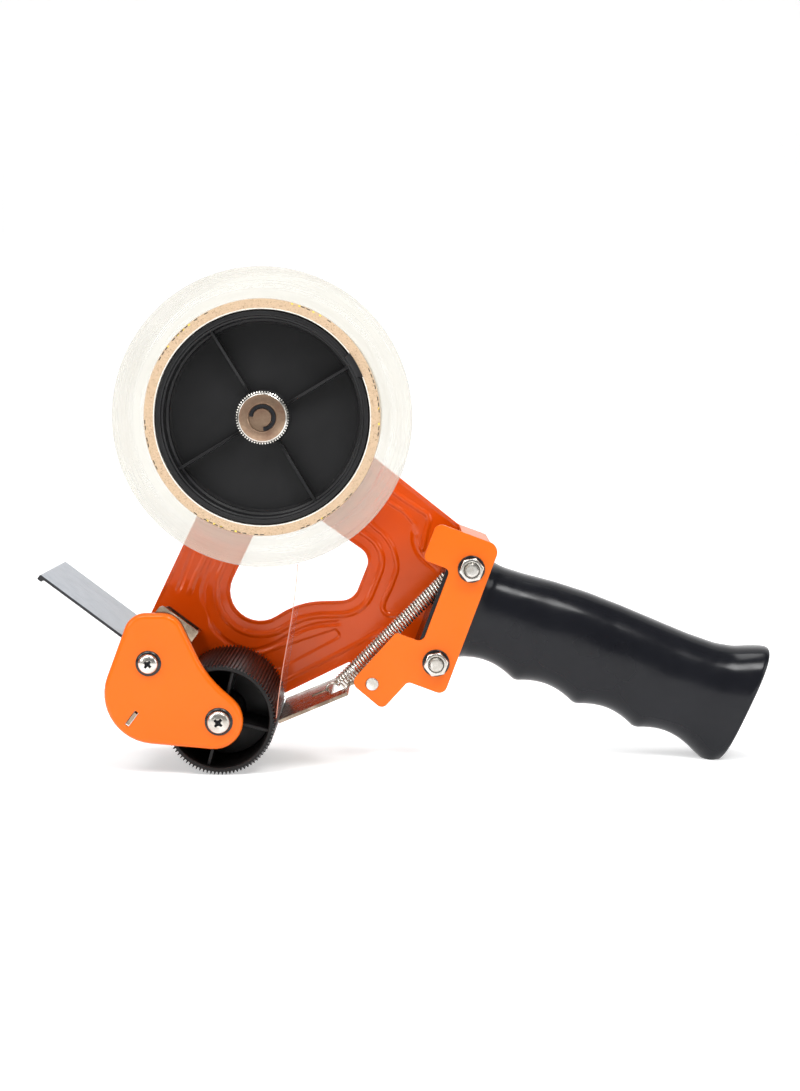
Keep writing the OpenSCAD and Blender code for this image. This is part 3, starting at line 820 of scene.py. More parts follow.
# Black steel of the E-clip; the same finish paints shade into the screws' cross recesses.
BLACK_CLIP_AND_RECESS_SHADE = PlatedSteel("clip_steel_and_recess_shade", (0.05, 0.052, 0.056), (0.03, 0.03, 0.033), 0.35)
SPRING_WIRE = PlatedSteel("spring_wire", (0.85, 0.82, 0.76), (0.55, 0.5, 0.44), 0.16, (1, 1, 1))
WOOL_FELT = Felt("felt", linear(130, 60, 50))
CORE_PAPER = Paperboard("core_paper", linear(212, 184, 152), linear(126, 90, 62))
CORE_LINING = Paperboard("core_lining", linear(246, 240, 230), linear(205, 190, 170))
PRINT_BLACK = MouldedPlastic("print_black", linear(48, 46, 42), 0.6, 0.02, 0.05)
PRINT_YELLOW = MouldedPlastic("print_yellow", linear(232, 206, 70), 0.6, 0.02, 0.05)
TAPE_FILM = WoundFilm("tape_film", linear(236, 234, 222), linear(206, 203, 188), 0.32)
TAPE_SHEET = ClearFilm("tape_sheet", linear(246, 240, 236), 0.09)
# The pink of the tape's edge is a painted tint: the orange parts seen through the clear film.
TAPE_EDGE_PAINTED_TINT = ClearFilm("tape_edge_painted_tint", linear(236, 160, 135), 0.75)


class FinishBook:
    """Builds each finish once and hands it out."""

    def __init__(self) -> None:
        self.made: dict[str, bpy.types.Material] = {}

    def get(self, finish: Finish) -> bpy.types.Material:
        """The material of a finish."""
        if finish.name not in self.made:
            self.made[finish.name] = finish.build()
        return self.made[finish.name]

    def dress(self, obj: bpy.types.Object, finish: Finish) -> bpy.types.Object:
        """Gives a whole object one finish."""
        obj.data.materials.clear()
        obj.data.materials.append(self.get(finish))
        return obj


FINISHES = FinishBook()


# ---------------------------------------------------------------- geometry trees


class Pattern:
    """A geometry tree with named inputs, built once and used as a modifier."""

    def __init__(self, name: str, inputs: dict[str, str]) -> None:
        """Starts the tree.

        Args:
            name: the tree's name.
            inputs: socket types by input name, after the geometry.
        """
        tree = bpy.data.node_groups.new(name, "GeometryNodeTree")
        self.graph = Graph(tree)
        tree.interface.new_socket("Geometry", in_out="INPUT", socket_type="NodeSocketGeometry")
        self.keys = {n: tree.interface.new_socket(n, in_out="INPUT", socket_type=t).identifier
                     for n, t in inputs.items()}
        tree.interface.new_socket("Geometry", in_out="OUTPUT", socket_type="NodeSocketGeometry")
        self.source = self.graph.add("NodeGroupInput").outputs

    def close(self, geometry: bpy.types.NodeSocket) -> None:
        """Realizes the instances, sets the finish and ends the tree."""
        real = self.graph.add("GeometryNodeRealizeInstances", {"Geometry": geometry}).outputs[0]
        dressed = self.graph.add("GeometryNodeSetMaterial",
                                 {"Geometry": real, "Material": self.source["Finish"]})
        self.graph.add("NodeGroupOutput", {"Geometry": dressed.outputs[0]})

    def run(self, obj: bpy.types.Object, **values: Setting) -> bpy.types.Object:
        """Runs the tree on an object and keeps the result as its mesh.

        Args:
            obj: the object whose mesh goes in.
            **values: the named inputs, with _ for a space.

        Returns:
            The same object, with a plain mesh.
        """
        mod = obj.modifiers.new(self.graph.tree.name, "NODES")
        mod.node_group = self.graph.tree
        for key, value in values.items():
            mod[self.keys[key.replace("_", " ")]] = value
        return settled(obj)


class RingPattern(Pattern):
    """Repeats a part round an axis along Y, in equal steps, keeping a share of them."""

    def __init__(self) -> None:
        super().__init__("ring_of_parts", {
            "Count": "NodeSocketInt", "Axis point": "NodeSocketVector",
            "First angle": "NodeSocketFloat", "Step angle": "NodeSocketFloat",
            "Kept share": "NodeSocketFloat", "Seed": "NodeSocketInt",
            "Finish": "NodeSocketMaterial"})
        g, src = self.graph, self.source
        away = g.add("ShaderNodeVectorMath", {0: src["Axis point"], 1: (-1, -1, -1)},
                     operation="MULTIPLY")
        part = g.add("GeometryNodeTransform",
                     {"Geometry": src["Geometry"], "Translation": away.outputs[0]})
        row = g.add("GeometryNodeMeshLine", {"Count": src["Count"], "Offset": (0, 0, 0)})
        index = g.add("GeometryNodeInputIndex").outputs[0]
        angle = g.math("ADD", src["First angle"], g.math("MULTIPLY", index, src["Step angle"]))
        turn = g.add("ShaderNodeCombineXYZ", {"Y": g.math("MULTIPLY", angle, -1.0)}).outputs[0]
        chance = g.add("FunctionNodeRandomValue", {"Seed": src["Seed"]},
                       data_type="FLOAT").outputs[1]
        kept = g.add("FunctionNodeCompare", {0: chance, 1: src["Kept share"]}, data_type="FLOAT",
                     operation="LESS_THAN").outputs[0]
        copies = g.add("GeometryNodeInstanceOnPoints", {"Points": row.outputs[0], "Selection": kept,
                                                        "Instance": part.outputs[0],
                                                        "Rotation": turn})
        back = g.add("GeometryNodeTranslateInstances", {"Instances": copies.outputs[0],
                                                        "Translation": src["Axis point"]})
        back.inputs["Local Space"].default_value = False
        self.close(back.outputs[0])

    def spread(self, obj: bpy.types.Object, finish: Finish, count: int, axis: Point,
               first: float = 0.0, step: float | None = None, share: float = 1.1,
               seed: int = 1) -> bpy.types.Object:
        """Repeats the object round an axis.

        Args:
            obj: the part, in place at angle 0, which is +X.
            finish: its finish.
            count: how many steps.
            axis: local (x, z) of the axis.
            first: the first angle in degrees, anticlockwise seen from the near side.
            step: degrees between parts, or None for a whole turn.
            share: the share of parts that stay.
            seed: picks which parts stay.

        Returns:
            The object, now holding every part.
        """
        gap = 360 / count if step is None else step
        return self.run(obj, Count=count, Axis_point=BENCH.at(axis[0], 0, axis[1]),
                        First_angle=math.radians(first), Step_angle=math.radians(gap),
                        Kept_share=share, Seed=seed, Finish=FINISHES.get(finish))


class RowPattern(Pattern):
    """Repeats a part along a line, in equal steps."""

    def __init__(self) -> None:
        super().__init__("row_of_parts", {"Count": "NodeSocketInt", "Step": "NodeSocketVector",
                                          "Finish": "NodeSocketMaterial"})
        g, src = self.graph, self.source
        row = g.add("GeometryNodeMeshLine", {"Count": src["Count"], "Offset": src["Step"]})
        copies = g.add("GeometryNodeInstanceOnPoints",
                       {"Points": row.outputs[0], "Instance": src["Geometry"]})
        self.close(copies.outputs[0])

    def spread(self, obj: bpy.types.Object, finish: Finish, count: int,
               step: Vector) -> bpy.types.Object:
        """Repeats the object along a step given in metres."""
        return self.run(obj, Count=count, Step=step, Finish=FINISHES.get(finish))


class WirePattern(Pattern):
    """Runs a round wire along the edges of a mesh."""

    def __init__(self) -> None:
        super().__init__("wire_along_path", {"Wire radius": "NodeSocketFloat",
                                             "Sides": "NodeSocketInt",
                                             "Finish": "NodeSocketMaterial"})
        g, src = self.graph, self.source
        path = g.add("GeometryNodeMeshToCurve", {"Mesh": src["Geometry"]})
        section = g.add("GeometryNodeCurvePrimitiveCircle",
                        {"Resolution": src["Sides"], "Radius": src["Wire radius"]})
        wire = g.add("GeometryNodeCurveToMesh", {"Curve": path.outputs[0],
                                                 "Profile Curve": section.outputs[0],
                                                 "Fill Caps": True})
        smooth_wire = g.add("GeometryNodeSetShadeSmooth", {"Geometry": wire.outputs[0]})
        self.close(smooth_wire.outputs[0])

    def draw(self, name: str, path: Sequence[Vector], radius: float, finish: Finish,
             sides: int = 10) -> bpy.types.Object:
        """A wire along a path.

        Args:
            name: the object's name.
            path: points in metres.
            radius: the wire's radius in millimetres.
            finish: its finish.
            sides: sides of its section.

        Returns:
            The wire.
        """
        mesh = bpy.data.meshes.new(name)
        mesh.from_pydata([tuple(p) for p in path], [(i, i + 1) for i in range(len(path) - 1)], [])
        obj = linked(name, mesh)
        self.run(obj, Wire_radius=radius * MM, Sides=sides, Finish=FINISHES.get(finish))
        return shade(outwards(obj), 60)


RING = RingPattern()
ROW = RowPattern()
WIRE = WirePattern()


# ---------------------------------------------------------------- side frame


@dataclass(frozen=True)
class Bead:
    """A flat-topped bead pressed into the sheet along a line of local (x, z) points."""

    line: tuple[Point, ...]
    top: float
    side: float
    height: float
    kind: Blank = Blank.RIDGE
    closed: bool = False

    @property
    def reach(self) -> float:
        """Distance from the line to the foot of the bead."""
        return self.top + self.side

    def lift(self, points: np.ndarray) -> np.ndarray:
        """How far each point is lifted towards the near side, in millimetres."""
        away = distance(points, self.line, self.closed)
        return self.kind.value * self.height * np.clip((self.reach - away) / self.side, 0, 1)

    def rows(self) -> np.ndarray:
        """Points along the bead's line, its edges, its feet and the middle of its sides."""
        offsets = (self.top, self.top + self.side / 2, self.reach, self.reach + 0.22)
        made = [np.array(self.line, float)]
        made += [beside(self.line, k * d, self.closed) for d in offsets for k in (-1, 1)]
        return np.concatenate(made)


@dataclass
class SideFrame:
    """The pressed steel frame on the far side: outline, finger window and beads."""

    body: str = "frame"
    thickness: float = 1.2
    pitch: float = 0.9
    lip: float = 0.38
    window_lip: float = 0.3
    rim: float = 1.3
    rim_side: float = 0.8
    rim_blend: float = 1.5
    rounding: float = 0.2
    pad_blend: float = 3.5
    gap_to_tape: float = 3.0
    line_step: float = 0.7
    rim_rows: tuple[float, ...] = (0.22, 0.5, 0.85, 1.3, 1.6)
    outline: list[Corner] = field(default_factory=lambda: [
        (-2.7, 16.7, 11), (-48.4, -78.4, 20), (-63.9, -114, 18), (-18.3, -118, 14),
        (31.5, -93.7, 2)])
    outline_on_grip: list[Corner] = field(default_factory=lambda: [
        (-25.4, -58.8, 5), (-13.2, -58.8, 5), (-9, -46.2, 3), (7, -46.2, 3), (7, 7.4, 3),
        (2.6, 11.6, 2), (-8.5, 11.6, 6)])
    window: list[Corner] = field(default_factory=lambda: [
        (1, -28, 9), (-33.4, -99.5, 11.5), (9.5, -71.7, 32), (30.6, -71.1, 7), (37.5, -53.9, 6)])
    pocket: list[Corner] = field(default_factory=lambda: [
        (-12, -96, 1.5), (2, -98.2, 3), (26.5, -85.2, 1.8), (24, -81.6, 1.8), (8, -87, 8),
        (-8, -93, 3)])
    bead_gap: float = 5.4
    pocket_depth: float = 0.5
    pocket_side: float = 0.9
    pads: list[Corner] = field(default_factory=list)

    def beads(self) -> list[Bead]:
        """Every pressed line on the frame."""
        ring = tuple(spaced(rounded(inset(self.window, -self.bead_gap), 14), self.line_step))

        def ridge(points: Sequence[Point], top: float, side: float, height: float) -> Bead:
            return Bead(tuple(flowing(points)), top, side, height)

        def groove(points: Sequence[Point], top: float, side: float, height: float) -> Bead:
            return Bead(tuple(flowing(points)), top, side, height, Blank.GROOVE)

        return [
            Bead(ring, 0.5, 0.9, 0.62, closed=True),
            groove(((-13.0, -31.0), (-20.0, -48.0), (-25.9, -62.4), (-27.4, -69.0), (-26.0, -76.4),
                    (-23.1, -82.3), (-18.4, -86.9), (-12.5, -90.0), (-6.5, -90.4), (0.5, -88.0),
                    (9.0, -83.3), (16.0, -80.8), (24.0, -79.9)), 0.4, 0.8, 0.62),
            ridge(((-15.5, -27.0), (-26.4, -54.4), (-30.3, -62.4), (-34.0, -72.5)),
                  0.45, 0.8, 0.62),
            groove(((-24.5, -35.0), (-31.5, -53.2), (-37.9, -70.5)), 0.35, 0.95, 0.62),
            ridge(((3.7, -102.6), (42.0, -82.6)), 0.3, 0.7, 0.52),
            ridge(((30.0, -14.0), (46.5, -29.4), (54.6, -35.2), (59.4, -39.0), (58.4, -45.0),
                   (57.2, -51.1)), 0.4, 0.85, 0.62),
            ridge(((24.0, -17.0), (44.2, -33.0), (50.0, -36.9), (53.6, -41.0)), 0.3, 0.7, 0.52),
            groove(((54.0, -45.5), (54.0, -48.6), (55.7, -52.9), (58.2, -55.7), (62.0, -58.8)),
                   0.45, 0.95, 0.55),
            ridge(((22.0, -24.5), (37.4, -41.3), (41.6, -45.0), (45.3, -50.1), (47.0, -55.7),
                   (47.0, -59.7), (45.0, -65.6), (42.3, -71.4), (41.9, -74.5), (43.9, -76.6),
                   (47.4, -76.6)), 0.35, 0.8, 0.6),
        ]

    def build(self) -> bpy.types.Object:
        """Builds the frame's sheet.

        Returns:
            The finished piece.
        """
        corners = self.outline + [(*BENCH.grip(s, n), r) for s, n, r in self.outline_on_grip]
        edge = spaced(rounded(corners), self.pitch)
        hole = spaced(rounded(self.window, 13), self.pitch)
        rims = [spaced(rounded(inset(corners, d)), self.pitch) for d in self.rim_rows]
        rims += [spaced(rounded(inset(self.window, -d), 13), self.pitch) for d in self.rim_rows]
        flat, faces = self.grid(edge, hole, np.concatenate([np.array(r) for r in rims]))
        lift = self.height(flat, edge, hole)
        near = BENCH.depth("tape_roll", Side.FAR) + self.gap_to_tape
        front = [BENCH.at(x, near - h, z) for (x, z), h in zip(flat, lift)]
        back = [BENCH.at(x, near - h + self.thickness, z) for (x, z), h in zip(flat, lift)]
        n = len(front)
        sides: dict[tuple[int, int], int] = {}
        for f in faces:
            for a, b in zip(f, [*f[1:], f[0]]):
                sides[(a, b)] = 1
        wall = [(b, a, a + n, b + n) for a, b in sides if (b, a) not in sides]
        obj = new_object("frame_sheet", front + back,
                         [*faces, *([v + n for v in reversed(f)] for f in faces), *wall])
        shade(outwards(obj, 1e-9), 48)
        FINISHES.dress(obj, FRAME_PAINT)
        return finish_piece(obj, self.body, ["side_frame"])

    def grid(self, edge: list[Point], hole: list[Point],
             rims: np.ndarray) -> tuple[np.ndarray, list[Sequence[int]]]:
        """A triangle grid between the outline and the window, with rows along every bead.

        Args:
            edge: the outline.
            hole: the window.
            rims: points in rows along both edges.

        Returns:
            Grid points and triangles.
        """
        low, high = np.min(edge, axis=0), np.max(edge, axis=0)
        levels = np.arange(low[1], high[1], self.pitch * 0.866)
        cols = np.arange(low[0], high[0], self.pitch)
        even = np.array([(x + (self.pitch / 2 if k % 2 else 0), z) for k, z in enumerate(levels)
                         for x in cols])
        beads = self.beads()
        basin = spaced(rounded(self.pocket), self.line_step)
        lines = [(b.line, b.closed, b.reach) for b in beads]
        for line, closed, reach in lines + [(basin, True, self.pocket_side)]:
            even = even[distance(even, line, closed) > reach + 0.5]
        rows = [b.rows() for b in beads]
        rows += [beside(basin, d * self.pocket_side, True) for d in (-0.25, 0, 0.5, 1, 1.25)]
        added = np.concatenate([even, *rows])
        to_rim = np.minimum(distance(added, edge, True), distance(added, hole, True))
        added = np.concatenate([added[to_rim > self.rim_rows[-1] + 0.2], rims])
        to_rim = np.minimum(distance(added, edge, True), distance(added, hole, True))
        added = added[inside(added, edge) & ~inside(added, hole) & (to_rim > 0.15)]
        loops = [(i, (i + 1) % len(edge)) for i in range(len(edge))]
        base = len(edge)
        loops += [(base + i, base + (i + 1) % len(hole)) for i in range(len(hole))]
        coords = [Vector(p) for p in edge + hole] + [Vector(p) for p in added]
        verts, _, faces, *_ = delaunay_2d_cdt(coords, loops, [], 0, 1e-4)
        flat = np.array([(v.x, v.y) for v in verts])
        middle = np.array([flat[list(f)].mean(0) for f in faces])
        keep = inside(middle, edge) & ~inside(middle, hole)
        return flat, [f for f, k in zip(faces, keep) if k]

    def height(self, points: np.ndarray, edge: list[Point], hole: list[Point]) -> np.ndarray:
        """How far the press lifts each point towards the near side."""
        to_edge, to_hole = distance(points, edge, True), distance(points, hole, True)
        lift = sum(b.lift(points) for b in self.beads())
        basin = spaced(rounded(self.pocket), self.line_step)
        depth = distance(points, basin, True) * np.where(inside(points, basin), 1, -1)
        lift -= self.pocket_depth * np.clip(depth / self.pocket_side, 0, 1)
        lift *= np.clip((to_edge - self.rim) / self.rim_blend, 0, 1)
        lift += (self.lip * np.clip((self.rim - to_edge) / self.rim_side, 0, 1)
                 + self.window_lip * np.clip((self.rim - to_hole) / self.rim_side, 0, 1))
        lift -= self.rounding * np.clip(1 - np.minimum(to_edge, to_hole) / self.rim_rows[0], 0, 1)
        for x, z, r in self.pads:
            away = np.hypot(points[:, 0] - x, points[:, 1] - z)
            lift *= smooth((away - r) / self.pad_blend)
        return lift


# ---------------------------------------------------------------- bracket, cover and grip


@dataclass
class FrontCover:
    """The pressed cover over the blade and roller, with its screws and washers."""

    body: str = "frame"
    corners: list[Corner] = field(default_factory=lambda: [
        (-47.1, -69.1, 8), (-63.9, -114, 18), (12.2, -120.8, 10.3), (-20.2, -91.6, 40),
        (-30.9, -69.1, 8)])
    edge_radius: float = 1.9
    wall: float = 1.2
    slot_size: Point = (6.2, 1.5)
    slot_at: Point = (-19.6, -7.0)
    washer_radii: Point = (4.55, 5.0)
    head_radii: Point = (3.5, 4.0)
    cross_turn: float = 50

    def build(self) -> list[bpy.types.Object]:
        """Builds the cover's shell and its fasteners."""
        return [self.shell(), self.washers(), self.screws()]

    def shell(self) -> bpy.types.Object:
        """The pressed shell, with a rounded edge and a slot for the bracket's tab."""
        near = BENCH.depth("front_cover", Side.NEAR)
        rim = BENCH.depth("front_cover", Side.FAR)
        rings: list[tuple[float, float]] = [(0, rim), (0, near + self.edge_radius)]
        for k in range(1, 8):
            a = math.pi / 2 * k / 7
            rings.append((self.edge_radius * (1 - math.cos(a)),
                          near + self.edge_radius * (1 - math.sin(a))))
        verts = [BENCH.at(x, y, z) for d, y in rings
                 for x, z in rounded(inset(self.corners, d), 14)]
        n = len(verts) // len(rings)
        obj = new_object("cover_shell", verts,
                         [*bands(n, len(rings)), range(len(verts) - n, len(verts))])
        if obj.data.polygons[-1].normal.y > 0:
            obj.data.flip_normals()
        wall = obj.modifiers.new("Wall", "SOLIDIFY")
        wall.thickness = self.wall * MM
        wall.offset = -1
        settled(obj)
        cut(obj, self.slot_tool(near))
        bevelled(obj, 0.18, 2, 50)
        FINISHES.dress(obj, COVER_PAINT)
        return finish_piece(obj, self.body, ["front_cover"])

    def slot_tool(self, near: float) -> bpy.types.Object:
        """The shape that cuts the tab's slot."""
        u, v = self.slot_at
        hu, hv = self.slot_size[0] / 2, self.slot_size[1] / 2
        ring = [BENCH.blade(u + a * hu, v + b * hv)
                for a, b in ((-1, -1), (1, -1), (1, 1), (-1, 1))]
        return slab("slot_tool", ring, near - 1, near + 2.5)

    def washers(self) -> bpy.types.Object:
        """The two domed black washers."""
        near = BENCH.depth("front_cover", Side.NEAR)
        made = []
        for axis, r in zip((BENCH.screw, BENCH.roller), self.washer_radii):
            profile = [(1.6, near - 0.02), (r - 0.1, near - 0.02), (r, near - 0.2),
                       (r - 0.25, near - 0.5), (r - 0.9, near - 0.78), (r - 1.6, near - 0.8),
                       (1.6, near - 0.8)]
            made.append(FINISHES.dress(shade(lathe("washer", profile, axis, 64)), BLACK_ZINC))
        return finish_piece(joined("cover_washer_pair", made), self.body, ["cover_washers"])

    def screws(self) -> bpy.types.Object:
        """The two cross-recessed pan-head screws."""
        near = BENCH.depth("cover_washers", Side.NEAR)
        made = [self.screw(axis, head, near)
                for axis, head in zip((BENCH.screw, BENCH.roller), self.head_radii)]
        return finish_piece(joined("cover_screw_pair", made), self.body, ["cover_screws"])

    def screw(self, axis: Point, head: float, seat: float) -> bpy.types.Object:
        """One screw.

        Args:
            axis: its local (x, z).
            head: radius of its head.
            seat: depth of the face under its head.

        Returns:
            The dressed screw.
        """
        dome = [(head * math.sin(a), seat - 0.75 - 1.35 * math.cos(a))
                for a in np.linspace(0.02, math.pi / 2, 9)]
        profile = [(0, dome[0][1]), *dome, (head, seat - 0.25), (head - 0.25, seat), (1.5, seat),
                   (1.5, seat + 9), (1.1, seat + 9.6), (0, seat + 9.6)]
        body = shade(lathe("screw", profile, axis, 64, closed=False), 40)
        FINISHES.dress(body, ZINC)
        # The second slot paints shade into the cross recess and the pit.
        body.data.materials.append(FINISHES.get(BLACK_CLIP_AND_RECESS_SHADE))
        face = seat - 2.1
        for turn in (self.cross_turn, self.cross_turn + 90):
            cut(body,
                self.with_painted_recess_shade(self.blade_tool(axis, math.radians(turn), face, 0.6 * head, 0.8)))
        cut(body, self.with_painted_recess_shade(lathe("pit", [(0, face - 1), (1.15, face - 1), (0.95, face + 0.6),
                                              (0, face + 1.7)], axis, 24, False)))
        return bevelled(body, 0.06, 2, 38)

    def with_painted_recess_shade(self, tool: bpy.types.Object) -> bpy.types.Object:
        """Gives a cutting tool the two finishes of a screw, and its faces the dark one, which
        paints shade into the cut recess.
        """
        for finish in (ZINC, BLACK_CLIP_AND_RECESS_SHADE):
            tool.data.materials.append(FINISHES.get(finish))
        for poly in tool.data.polygons:
            poly.material_index = 1
        return tool

    def blade_tool(self, axis: Point, turn: float, face: float, half: float,
                   width: float) -> bpy.types.Object:
        """One slot of the cross recess, narrower at its bottom."""
        verts = []
        for y, k in ((face - 1.0, 1.0), (face + 1.15, 0.5)):
            for a, b in ((-1, -1), (1, -1), (1, 1), (-1, 1)):
                p, q = a * half * k, b * width * 0.7 * (0.4 + 0.6 * k)
                verts.append(BENCH.at(axis[0] + p * math.cos(turn) - q * math.sin(turn), y,
                                      axis[1] + p * math.sin(turn) + q * math.cos(turn)))
        faces = [(0, 1, 2, 3), (7, 6, 5, 4), (0, 4, 5, 1), (1, 5, 6, 2), (2, 6, 7, 3), (3, 7, 4, 0)]
        return outwards(new_object("recess", verts, faces))


@dataclass
class Grip:
    """The moulded grip, its bracket and the bolts that hold it."""

    body: str = "frame"
    half_width: float = 15.0
    power: float = 2.45
    stations: int = 96
    sides: int = 64
    pitch: float = 24.2
    first: float = 6.6
    groove: float = 3.2
    start: float = 4.5
    block_end: float = 6.4
    finger_line: float = -34.7
    nut_half: float = 4.0
    nut_turn: float = 10
    top_line: tuple[Point, ...] = ((4.5, 4.4), (12, 3.3), (20, 3.7), (32, 4.9), (45, 5.5),
                                   (58, 5.3), (72, 4.7), (86, 4.1), (97, 4.3), (104, 5.6),
                                   (110, 8.0), (113.6, 9.35), (115.6, 9.75))
    bottom_line: tuple[Point, ...] = ((103.4, -36.5), (106, -37.6), (108.6, -38.8), (110.4, -38.7),
                                      (112.2, -36.4))

    def build(self) -> list[bpy.types.Object]:
        """Builds the grip, the bracket and the fasteners."""
        return [self.shell(), self.block(), self.bracket(), *self.fasteners()]

    def line_top(self, s: np.ndarray) -> np.ndarray:
        """Height of the grip's back along s."""
        return np.interp(s, *zip(*self.top_line))

    def line_bottom(self, s: np.ndarray) -> np.ndarray:
        """Height of the grip's finger side along s."""
        wave = np.abs(np.sin(np.pi * (s - self.first) / self.pitch)) ** 0.85
        fingers = self.finger_line - 0.02 * (s - self.first) + self.groove * wave
        tail = np.interp(s, *zip(*self.bottom_line))
        return np.where(s < self.first, self.finger_line,
                        np.where(s > self.bottom_line[0][0], tail, fingers))

    def shell(self) -> bpy.types.Object:
        """The hand grip, lofted from its back line to its finger line."""
        t = np.linspace(0, 1, self.stations)
        s_top, s_low = self.start + 111.1 * t, self.start + 107.7 * t
        blur = np.ones(3) / 3
        top = np.convolve(np.pad(self.line_top(s_top), 1, "edge"), blur, "valid")
        low = np.convolve(np.pad(self.line_bottom(s_low), 1, "edge"), blur, "valid")
        middle_y = (BENCH.depth("handle", Side.NEAR) + BENCH.depth("handle", Side.FAR)) / 2
        rings: list[tuple[np.ndarray, np.ndarray, float, float]] = []
        for k in range(self.stations):
            end = smooth(np.array((t[k] - 0.86) / 0.14))
            start = 1 - smooth(np.array(t[k] / 0.05))
            width = self.half_width * (1 - 0.035 * math.sin(math.pi * t[k]))
            power = self.power + 1.6 * float(start) + 0.35 * float(end)
            rings.append((np.array((s_top[k], top[k])), np.array((s_low[k], low[k])), width, power))
        last_top, last_low, width, power = rings[-1]
        middle = (last_top + last_low) / 2
        for shrink, out in ((0.985, 0.45), (0.955, 0.8), (0.9, 1.0)):
            shift = np.array((out, 0.0))
            rings.append((middle + (last_top - middle) * shrink + shift,
                          middle + (last_low - middle) * shrink + shift, width * shrink, power))
        verts = []
        for p_top, p_low, w, p in rings:
            mid, half = (p_top + p_low) / 2, (p_top - p_low) / 2
            for i in range(self.sides):
                a = 2 * math.pi * i / self.sides
                c, k = math.cos(a), math.sin(a)
                across = math.copysign(abs(c) ** (2 / p), c) * w
                up = math.copysign(abs(k) ** (2 / p), k)
                x, z = BENCH.grip(*(mid + half * up))
                verts.append(BENCH.at(x, middle_y + across, z))
        n, m = self.sides, len(verts)
        faces = [*bands(n, len(rings)), range(n), range(m - 1, m - n - 1, -1)]
        obj = shade(outwards(new_object("grip_shell", verts, faces)), 50)
        FINISHES.dress(obj, GRIP_PLASTIC)
        return finish_piece(obj, self.body, ["handle"])

    def block(self) -> bpy.types.Object:
        """The grip's block between the bracket and the frame, with its slot for the spring."""
        obj = copied("handle", "grip_block")
        x, z = BENCH.grip(self.block_end, 0)
        along = Vector((math.cos(BENCH.grip_angle), 0, -math.sin(BENCH.grip_angle)))
        with editing(obj) as bm:
            bmesh.ops.remove_doubles(bm, verts=bm.verts, dist=WELD)
            everything = bm.verts[:] + bm.edges[:] + bm.faces[:]
            found = bmesh.ops.bisect_plane(bm, geom=everything, plane_co=BENCH.at(x, 0, z),
                                           plane_no=along, clear_outer=True)
            rim = [e for e in found["geom_cut"] if isinstance(e, bmesh.types.BMEdge)]
            bmesh.ops.holes_fill(bm, edges=rim)
            bmesh.ops.dissolve_limit(bm, angle_limit=FLAT, verts=bm.verts, edges=bm.edges)
        bevelled(obj, 0.5, 2)
        FINISHES.dress(obj, GRIP_PLASTIC)
        return finish_piece(obj, self.body, ["handle"])

    def bracket(self) -> bpy.types.Object:
        """The painted bracket plate over the grip."""
        obj = softened("handle_bracket", "bracket_plate", 0.32, 3)
        FINISHES.dress(obj, COVER_PAINT)
        return finish_piece(obj, self.body, ["handle_bracket"])

    def fasteners(self) -> list[bpy.types.Object]:
        """The two sets of washer, nut and bolt."""
        (ux, uz), (lx, lz) = BENCH.upper_bolt, BENCH.lower_bolt
        step = Vector((lx - ux, 0, lz - uz)) * MM
        seat = BENCH.depth("handle_washers", Side.FAR)
        face = BENCH.depth("handle_nuts", Side.NEAR)
        end = BENCH.depth("handle_bolts", Side.NEAR)
        head = BENCH.depth("handle_bolts", Side.FAR)
        back = BENCH.depth("side_frame", Side.FAR)
        axis = BENCH.upper_bolt
        washer = shade(lathe("grip_washer_pair", [(2.55, seat), (4.9, seat), (5, seat - 0.15),
                                                  (4.9, seat - 0.7), (4.75, seat - 0.8),
                                                  (2.55, seat - 0.8)], axis, 64))
        nut = self.chamfered_hexagon("grip_nut_pair", axis, face, seat - 0.8)
        cut(nut, lathe("bore", [(0, face - 1), (3.6, face - 1), (3.0, face - 0.02),
                                (2.52, face + 0.5), (2.52, seat + 1), (0, seat + 1)], axis, 48,
                       False))
        bevelled(nut, 0.08, 2, 35)
        thread = [(2.48 - (0.3 if k % 2 else 0), end + 0.45 + 0.4 * k) for k in range(12)]
        bolt = lathe("grip_bolt_pair", [(0, end + 0.12), (1.5, end), (2.05, end + 0.05), *thread,
                                        (2.5, end + 5.5), (2.5, back), (0, back)], axis, 48, False)
        hexagon = self.chamfered_hexagon("head", axis, back, head)
        bevelled(hexagon, 0.1, 2, 35)
        bolt = joined("grip_bolt_pair", [shade(bolt, 30), hexagon])
        made = []
        for obj, node, finish in ((washer, "handle_washers", BLACK_ZINC),
                                  (nut, "handle_nuts", ZINC), (bolt, "handle_bolts", ZINC)):
            ROW.spread(obj, finish, 2, step)
            made.append(finish_piece(obj, self.body, [node]))
        return made

    def chamfered_hexagon(self, name: str, axis: Point, near: float,
                          far: float) -> bpy.types.Object:
        """A hexagon along Y whose corners are turned off at both ends.

        Args:
            name: the object's name.
            axis: local (x, z).
            near: its near depth.
            far: its far depth.

        Returns:
            The hexagon.
        """
        half = self.nut_half
        corner = half / math.cos(math.pi / 6)
        ring = [(axis[0] + corner * math.cos(a), axis[1] + corner * math.sin(a))
                for a in (math.radians(self.nut_turn + 60 * k) for k in range(6))]
        obj = slab(name, ring, near, far)
        tool = lathe("turned", [(0, near), (half * 0.96, near), (corner + 0.05, near + 0.5),
                                (corner + 0.05, far - 0.5), (half * 0.96, far), (0, far)], axis, 96,
                     False)
        return cut(obj, tool, "INTERSECT")


# ---------------------------------------------------------------- press roller


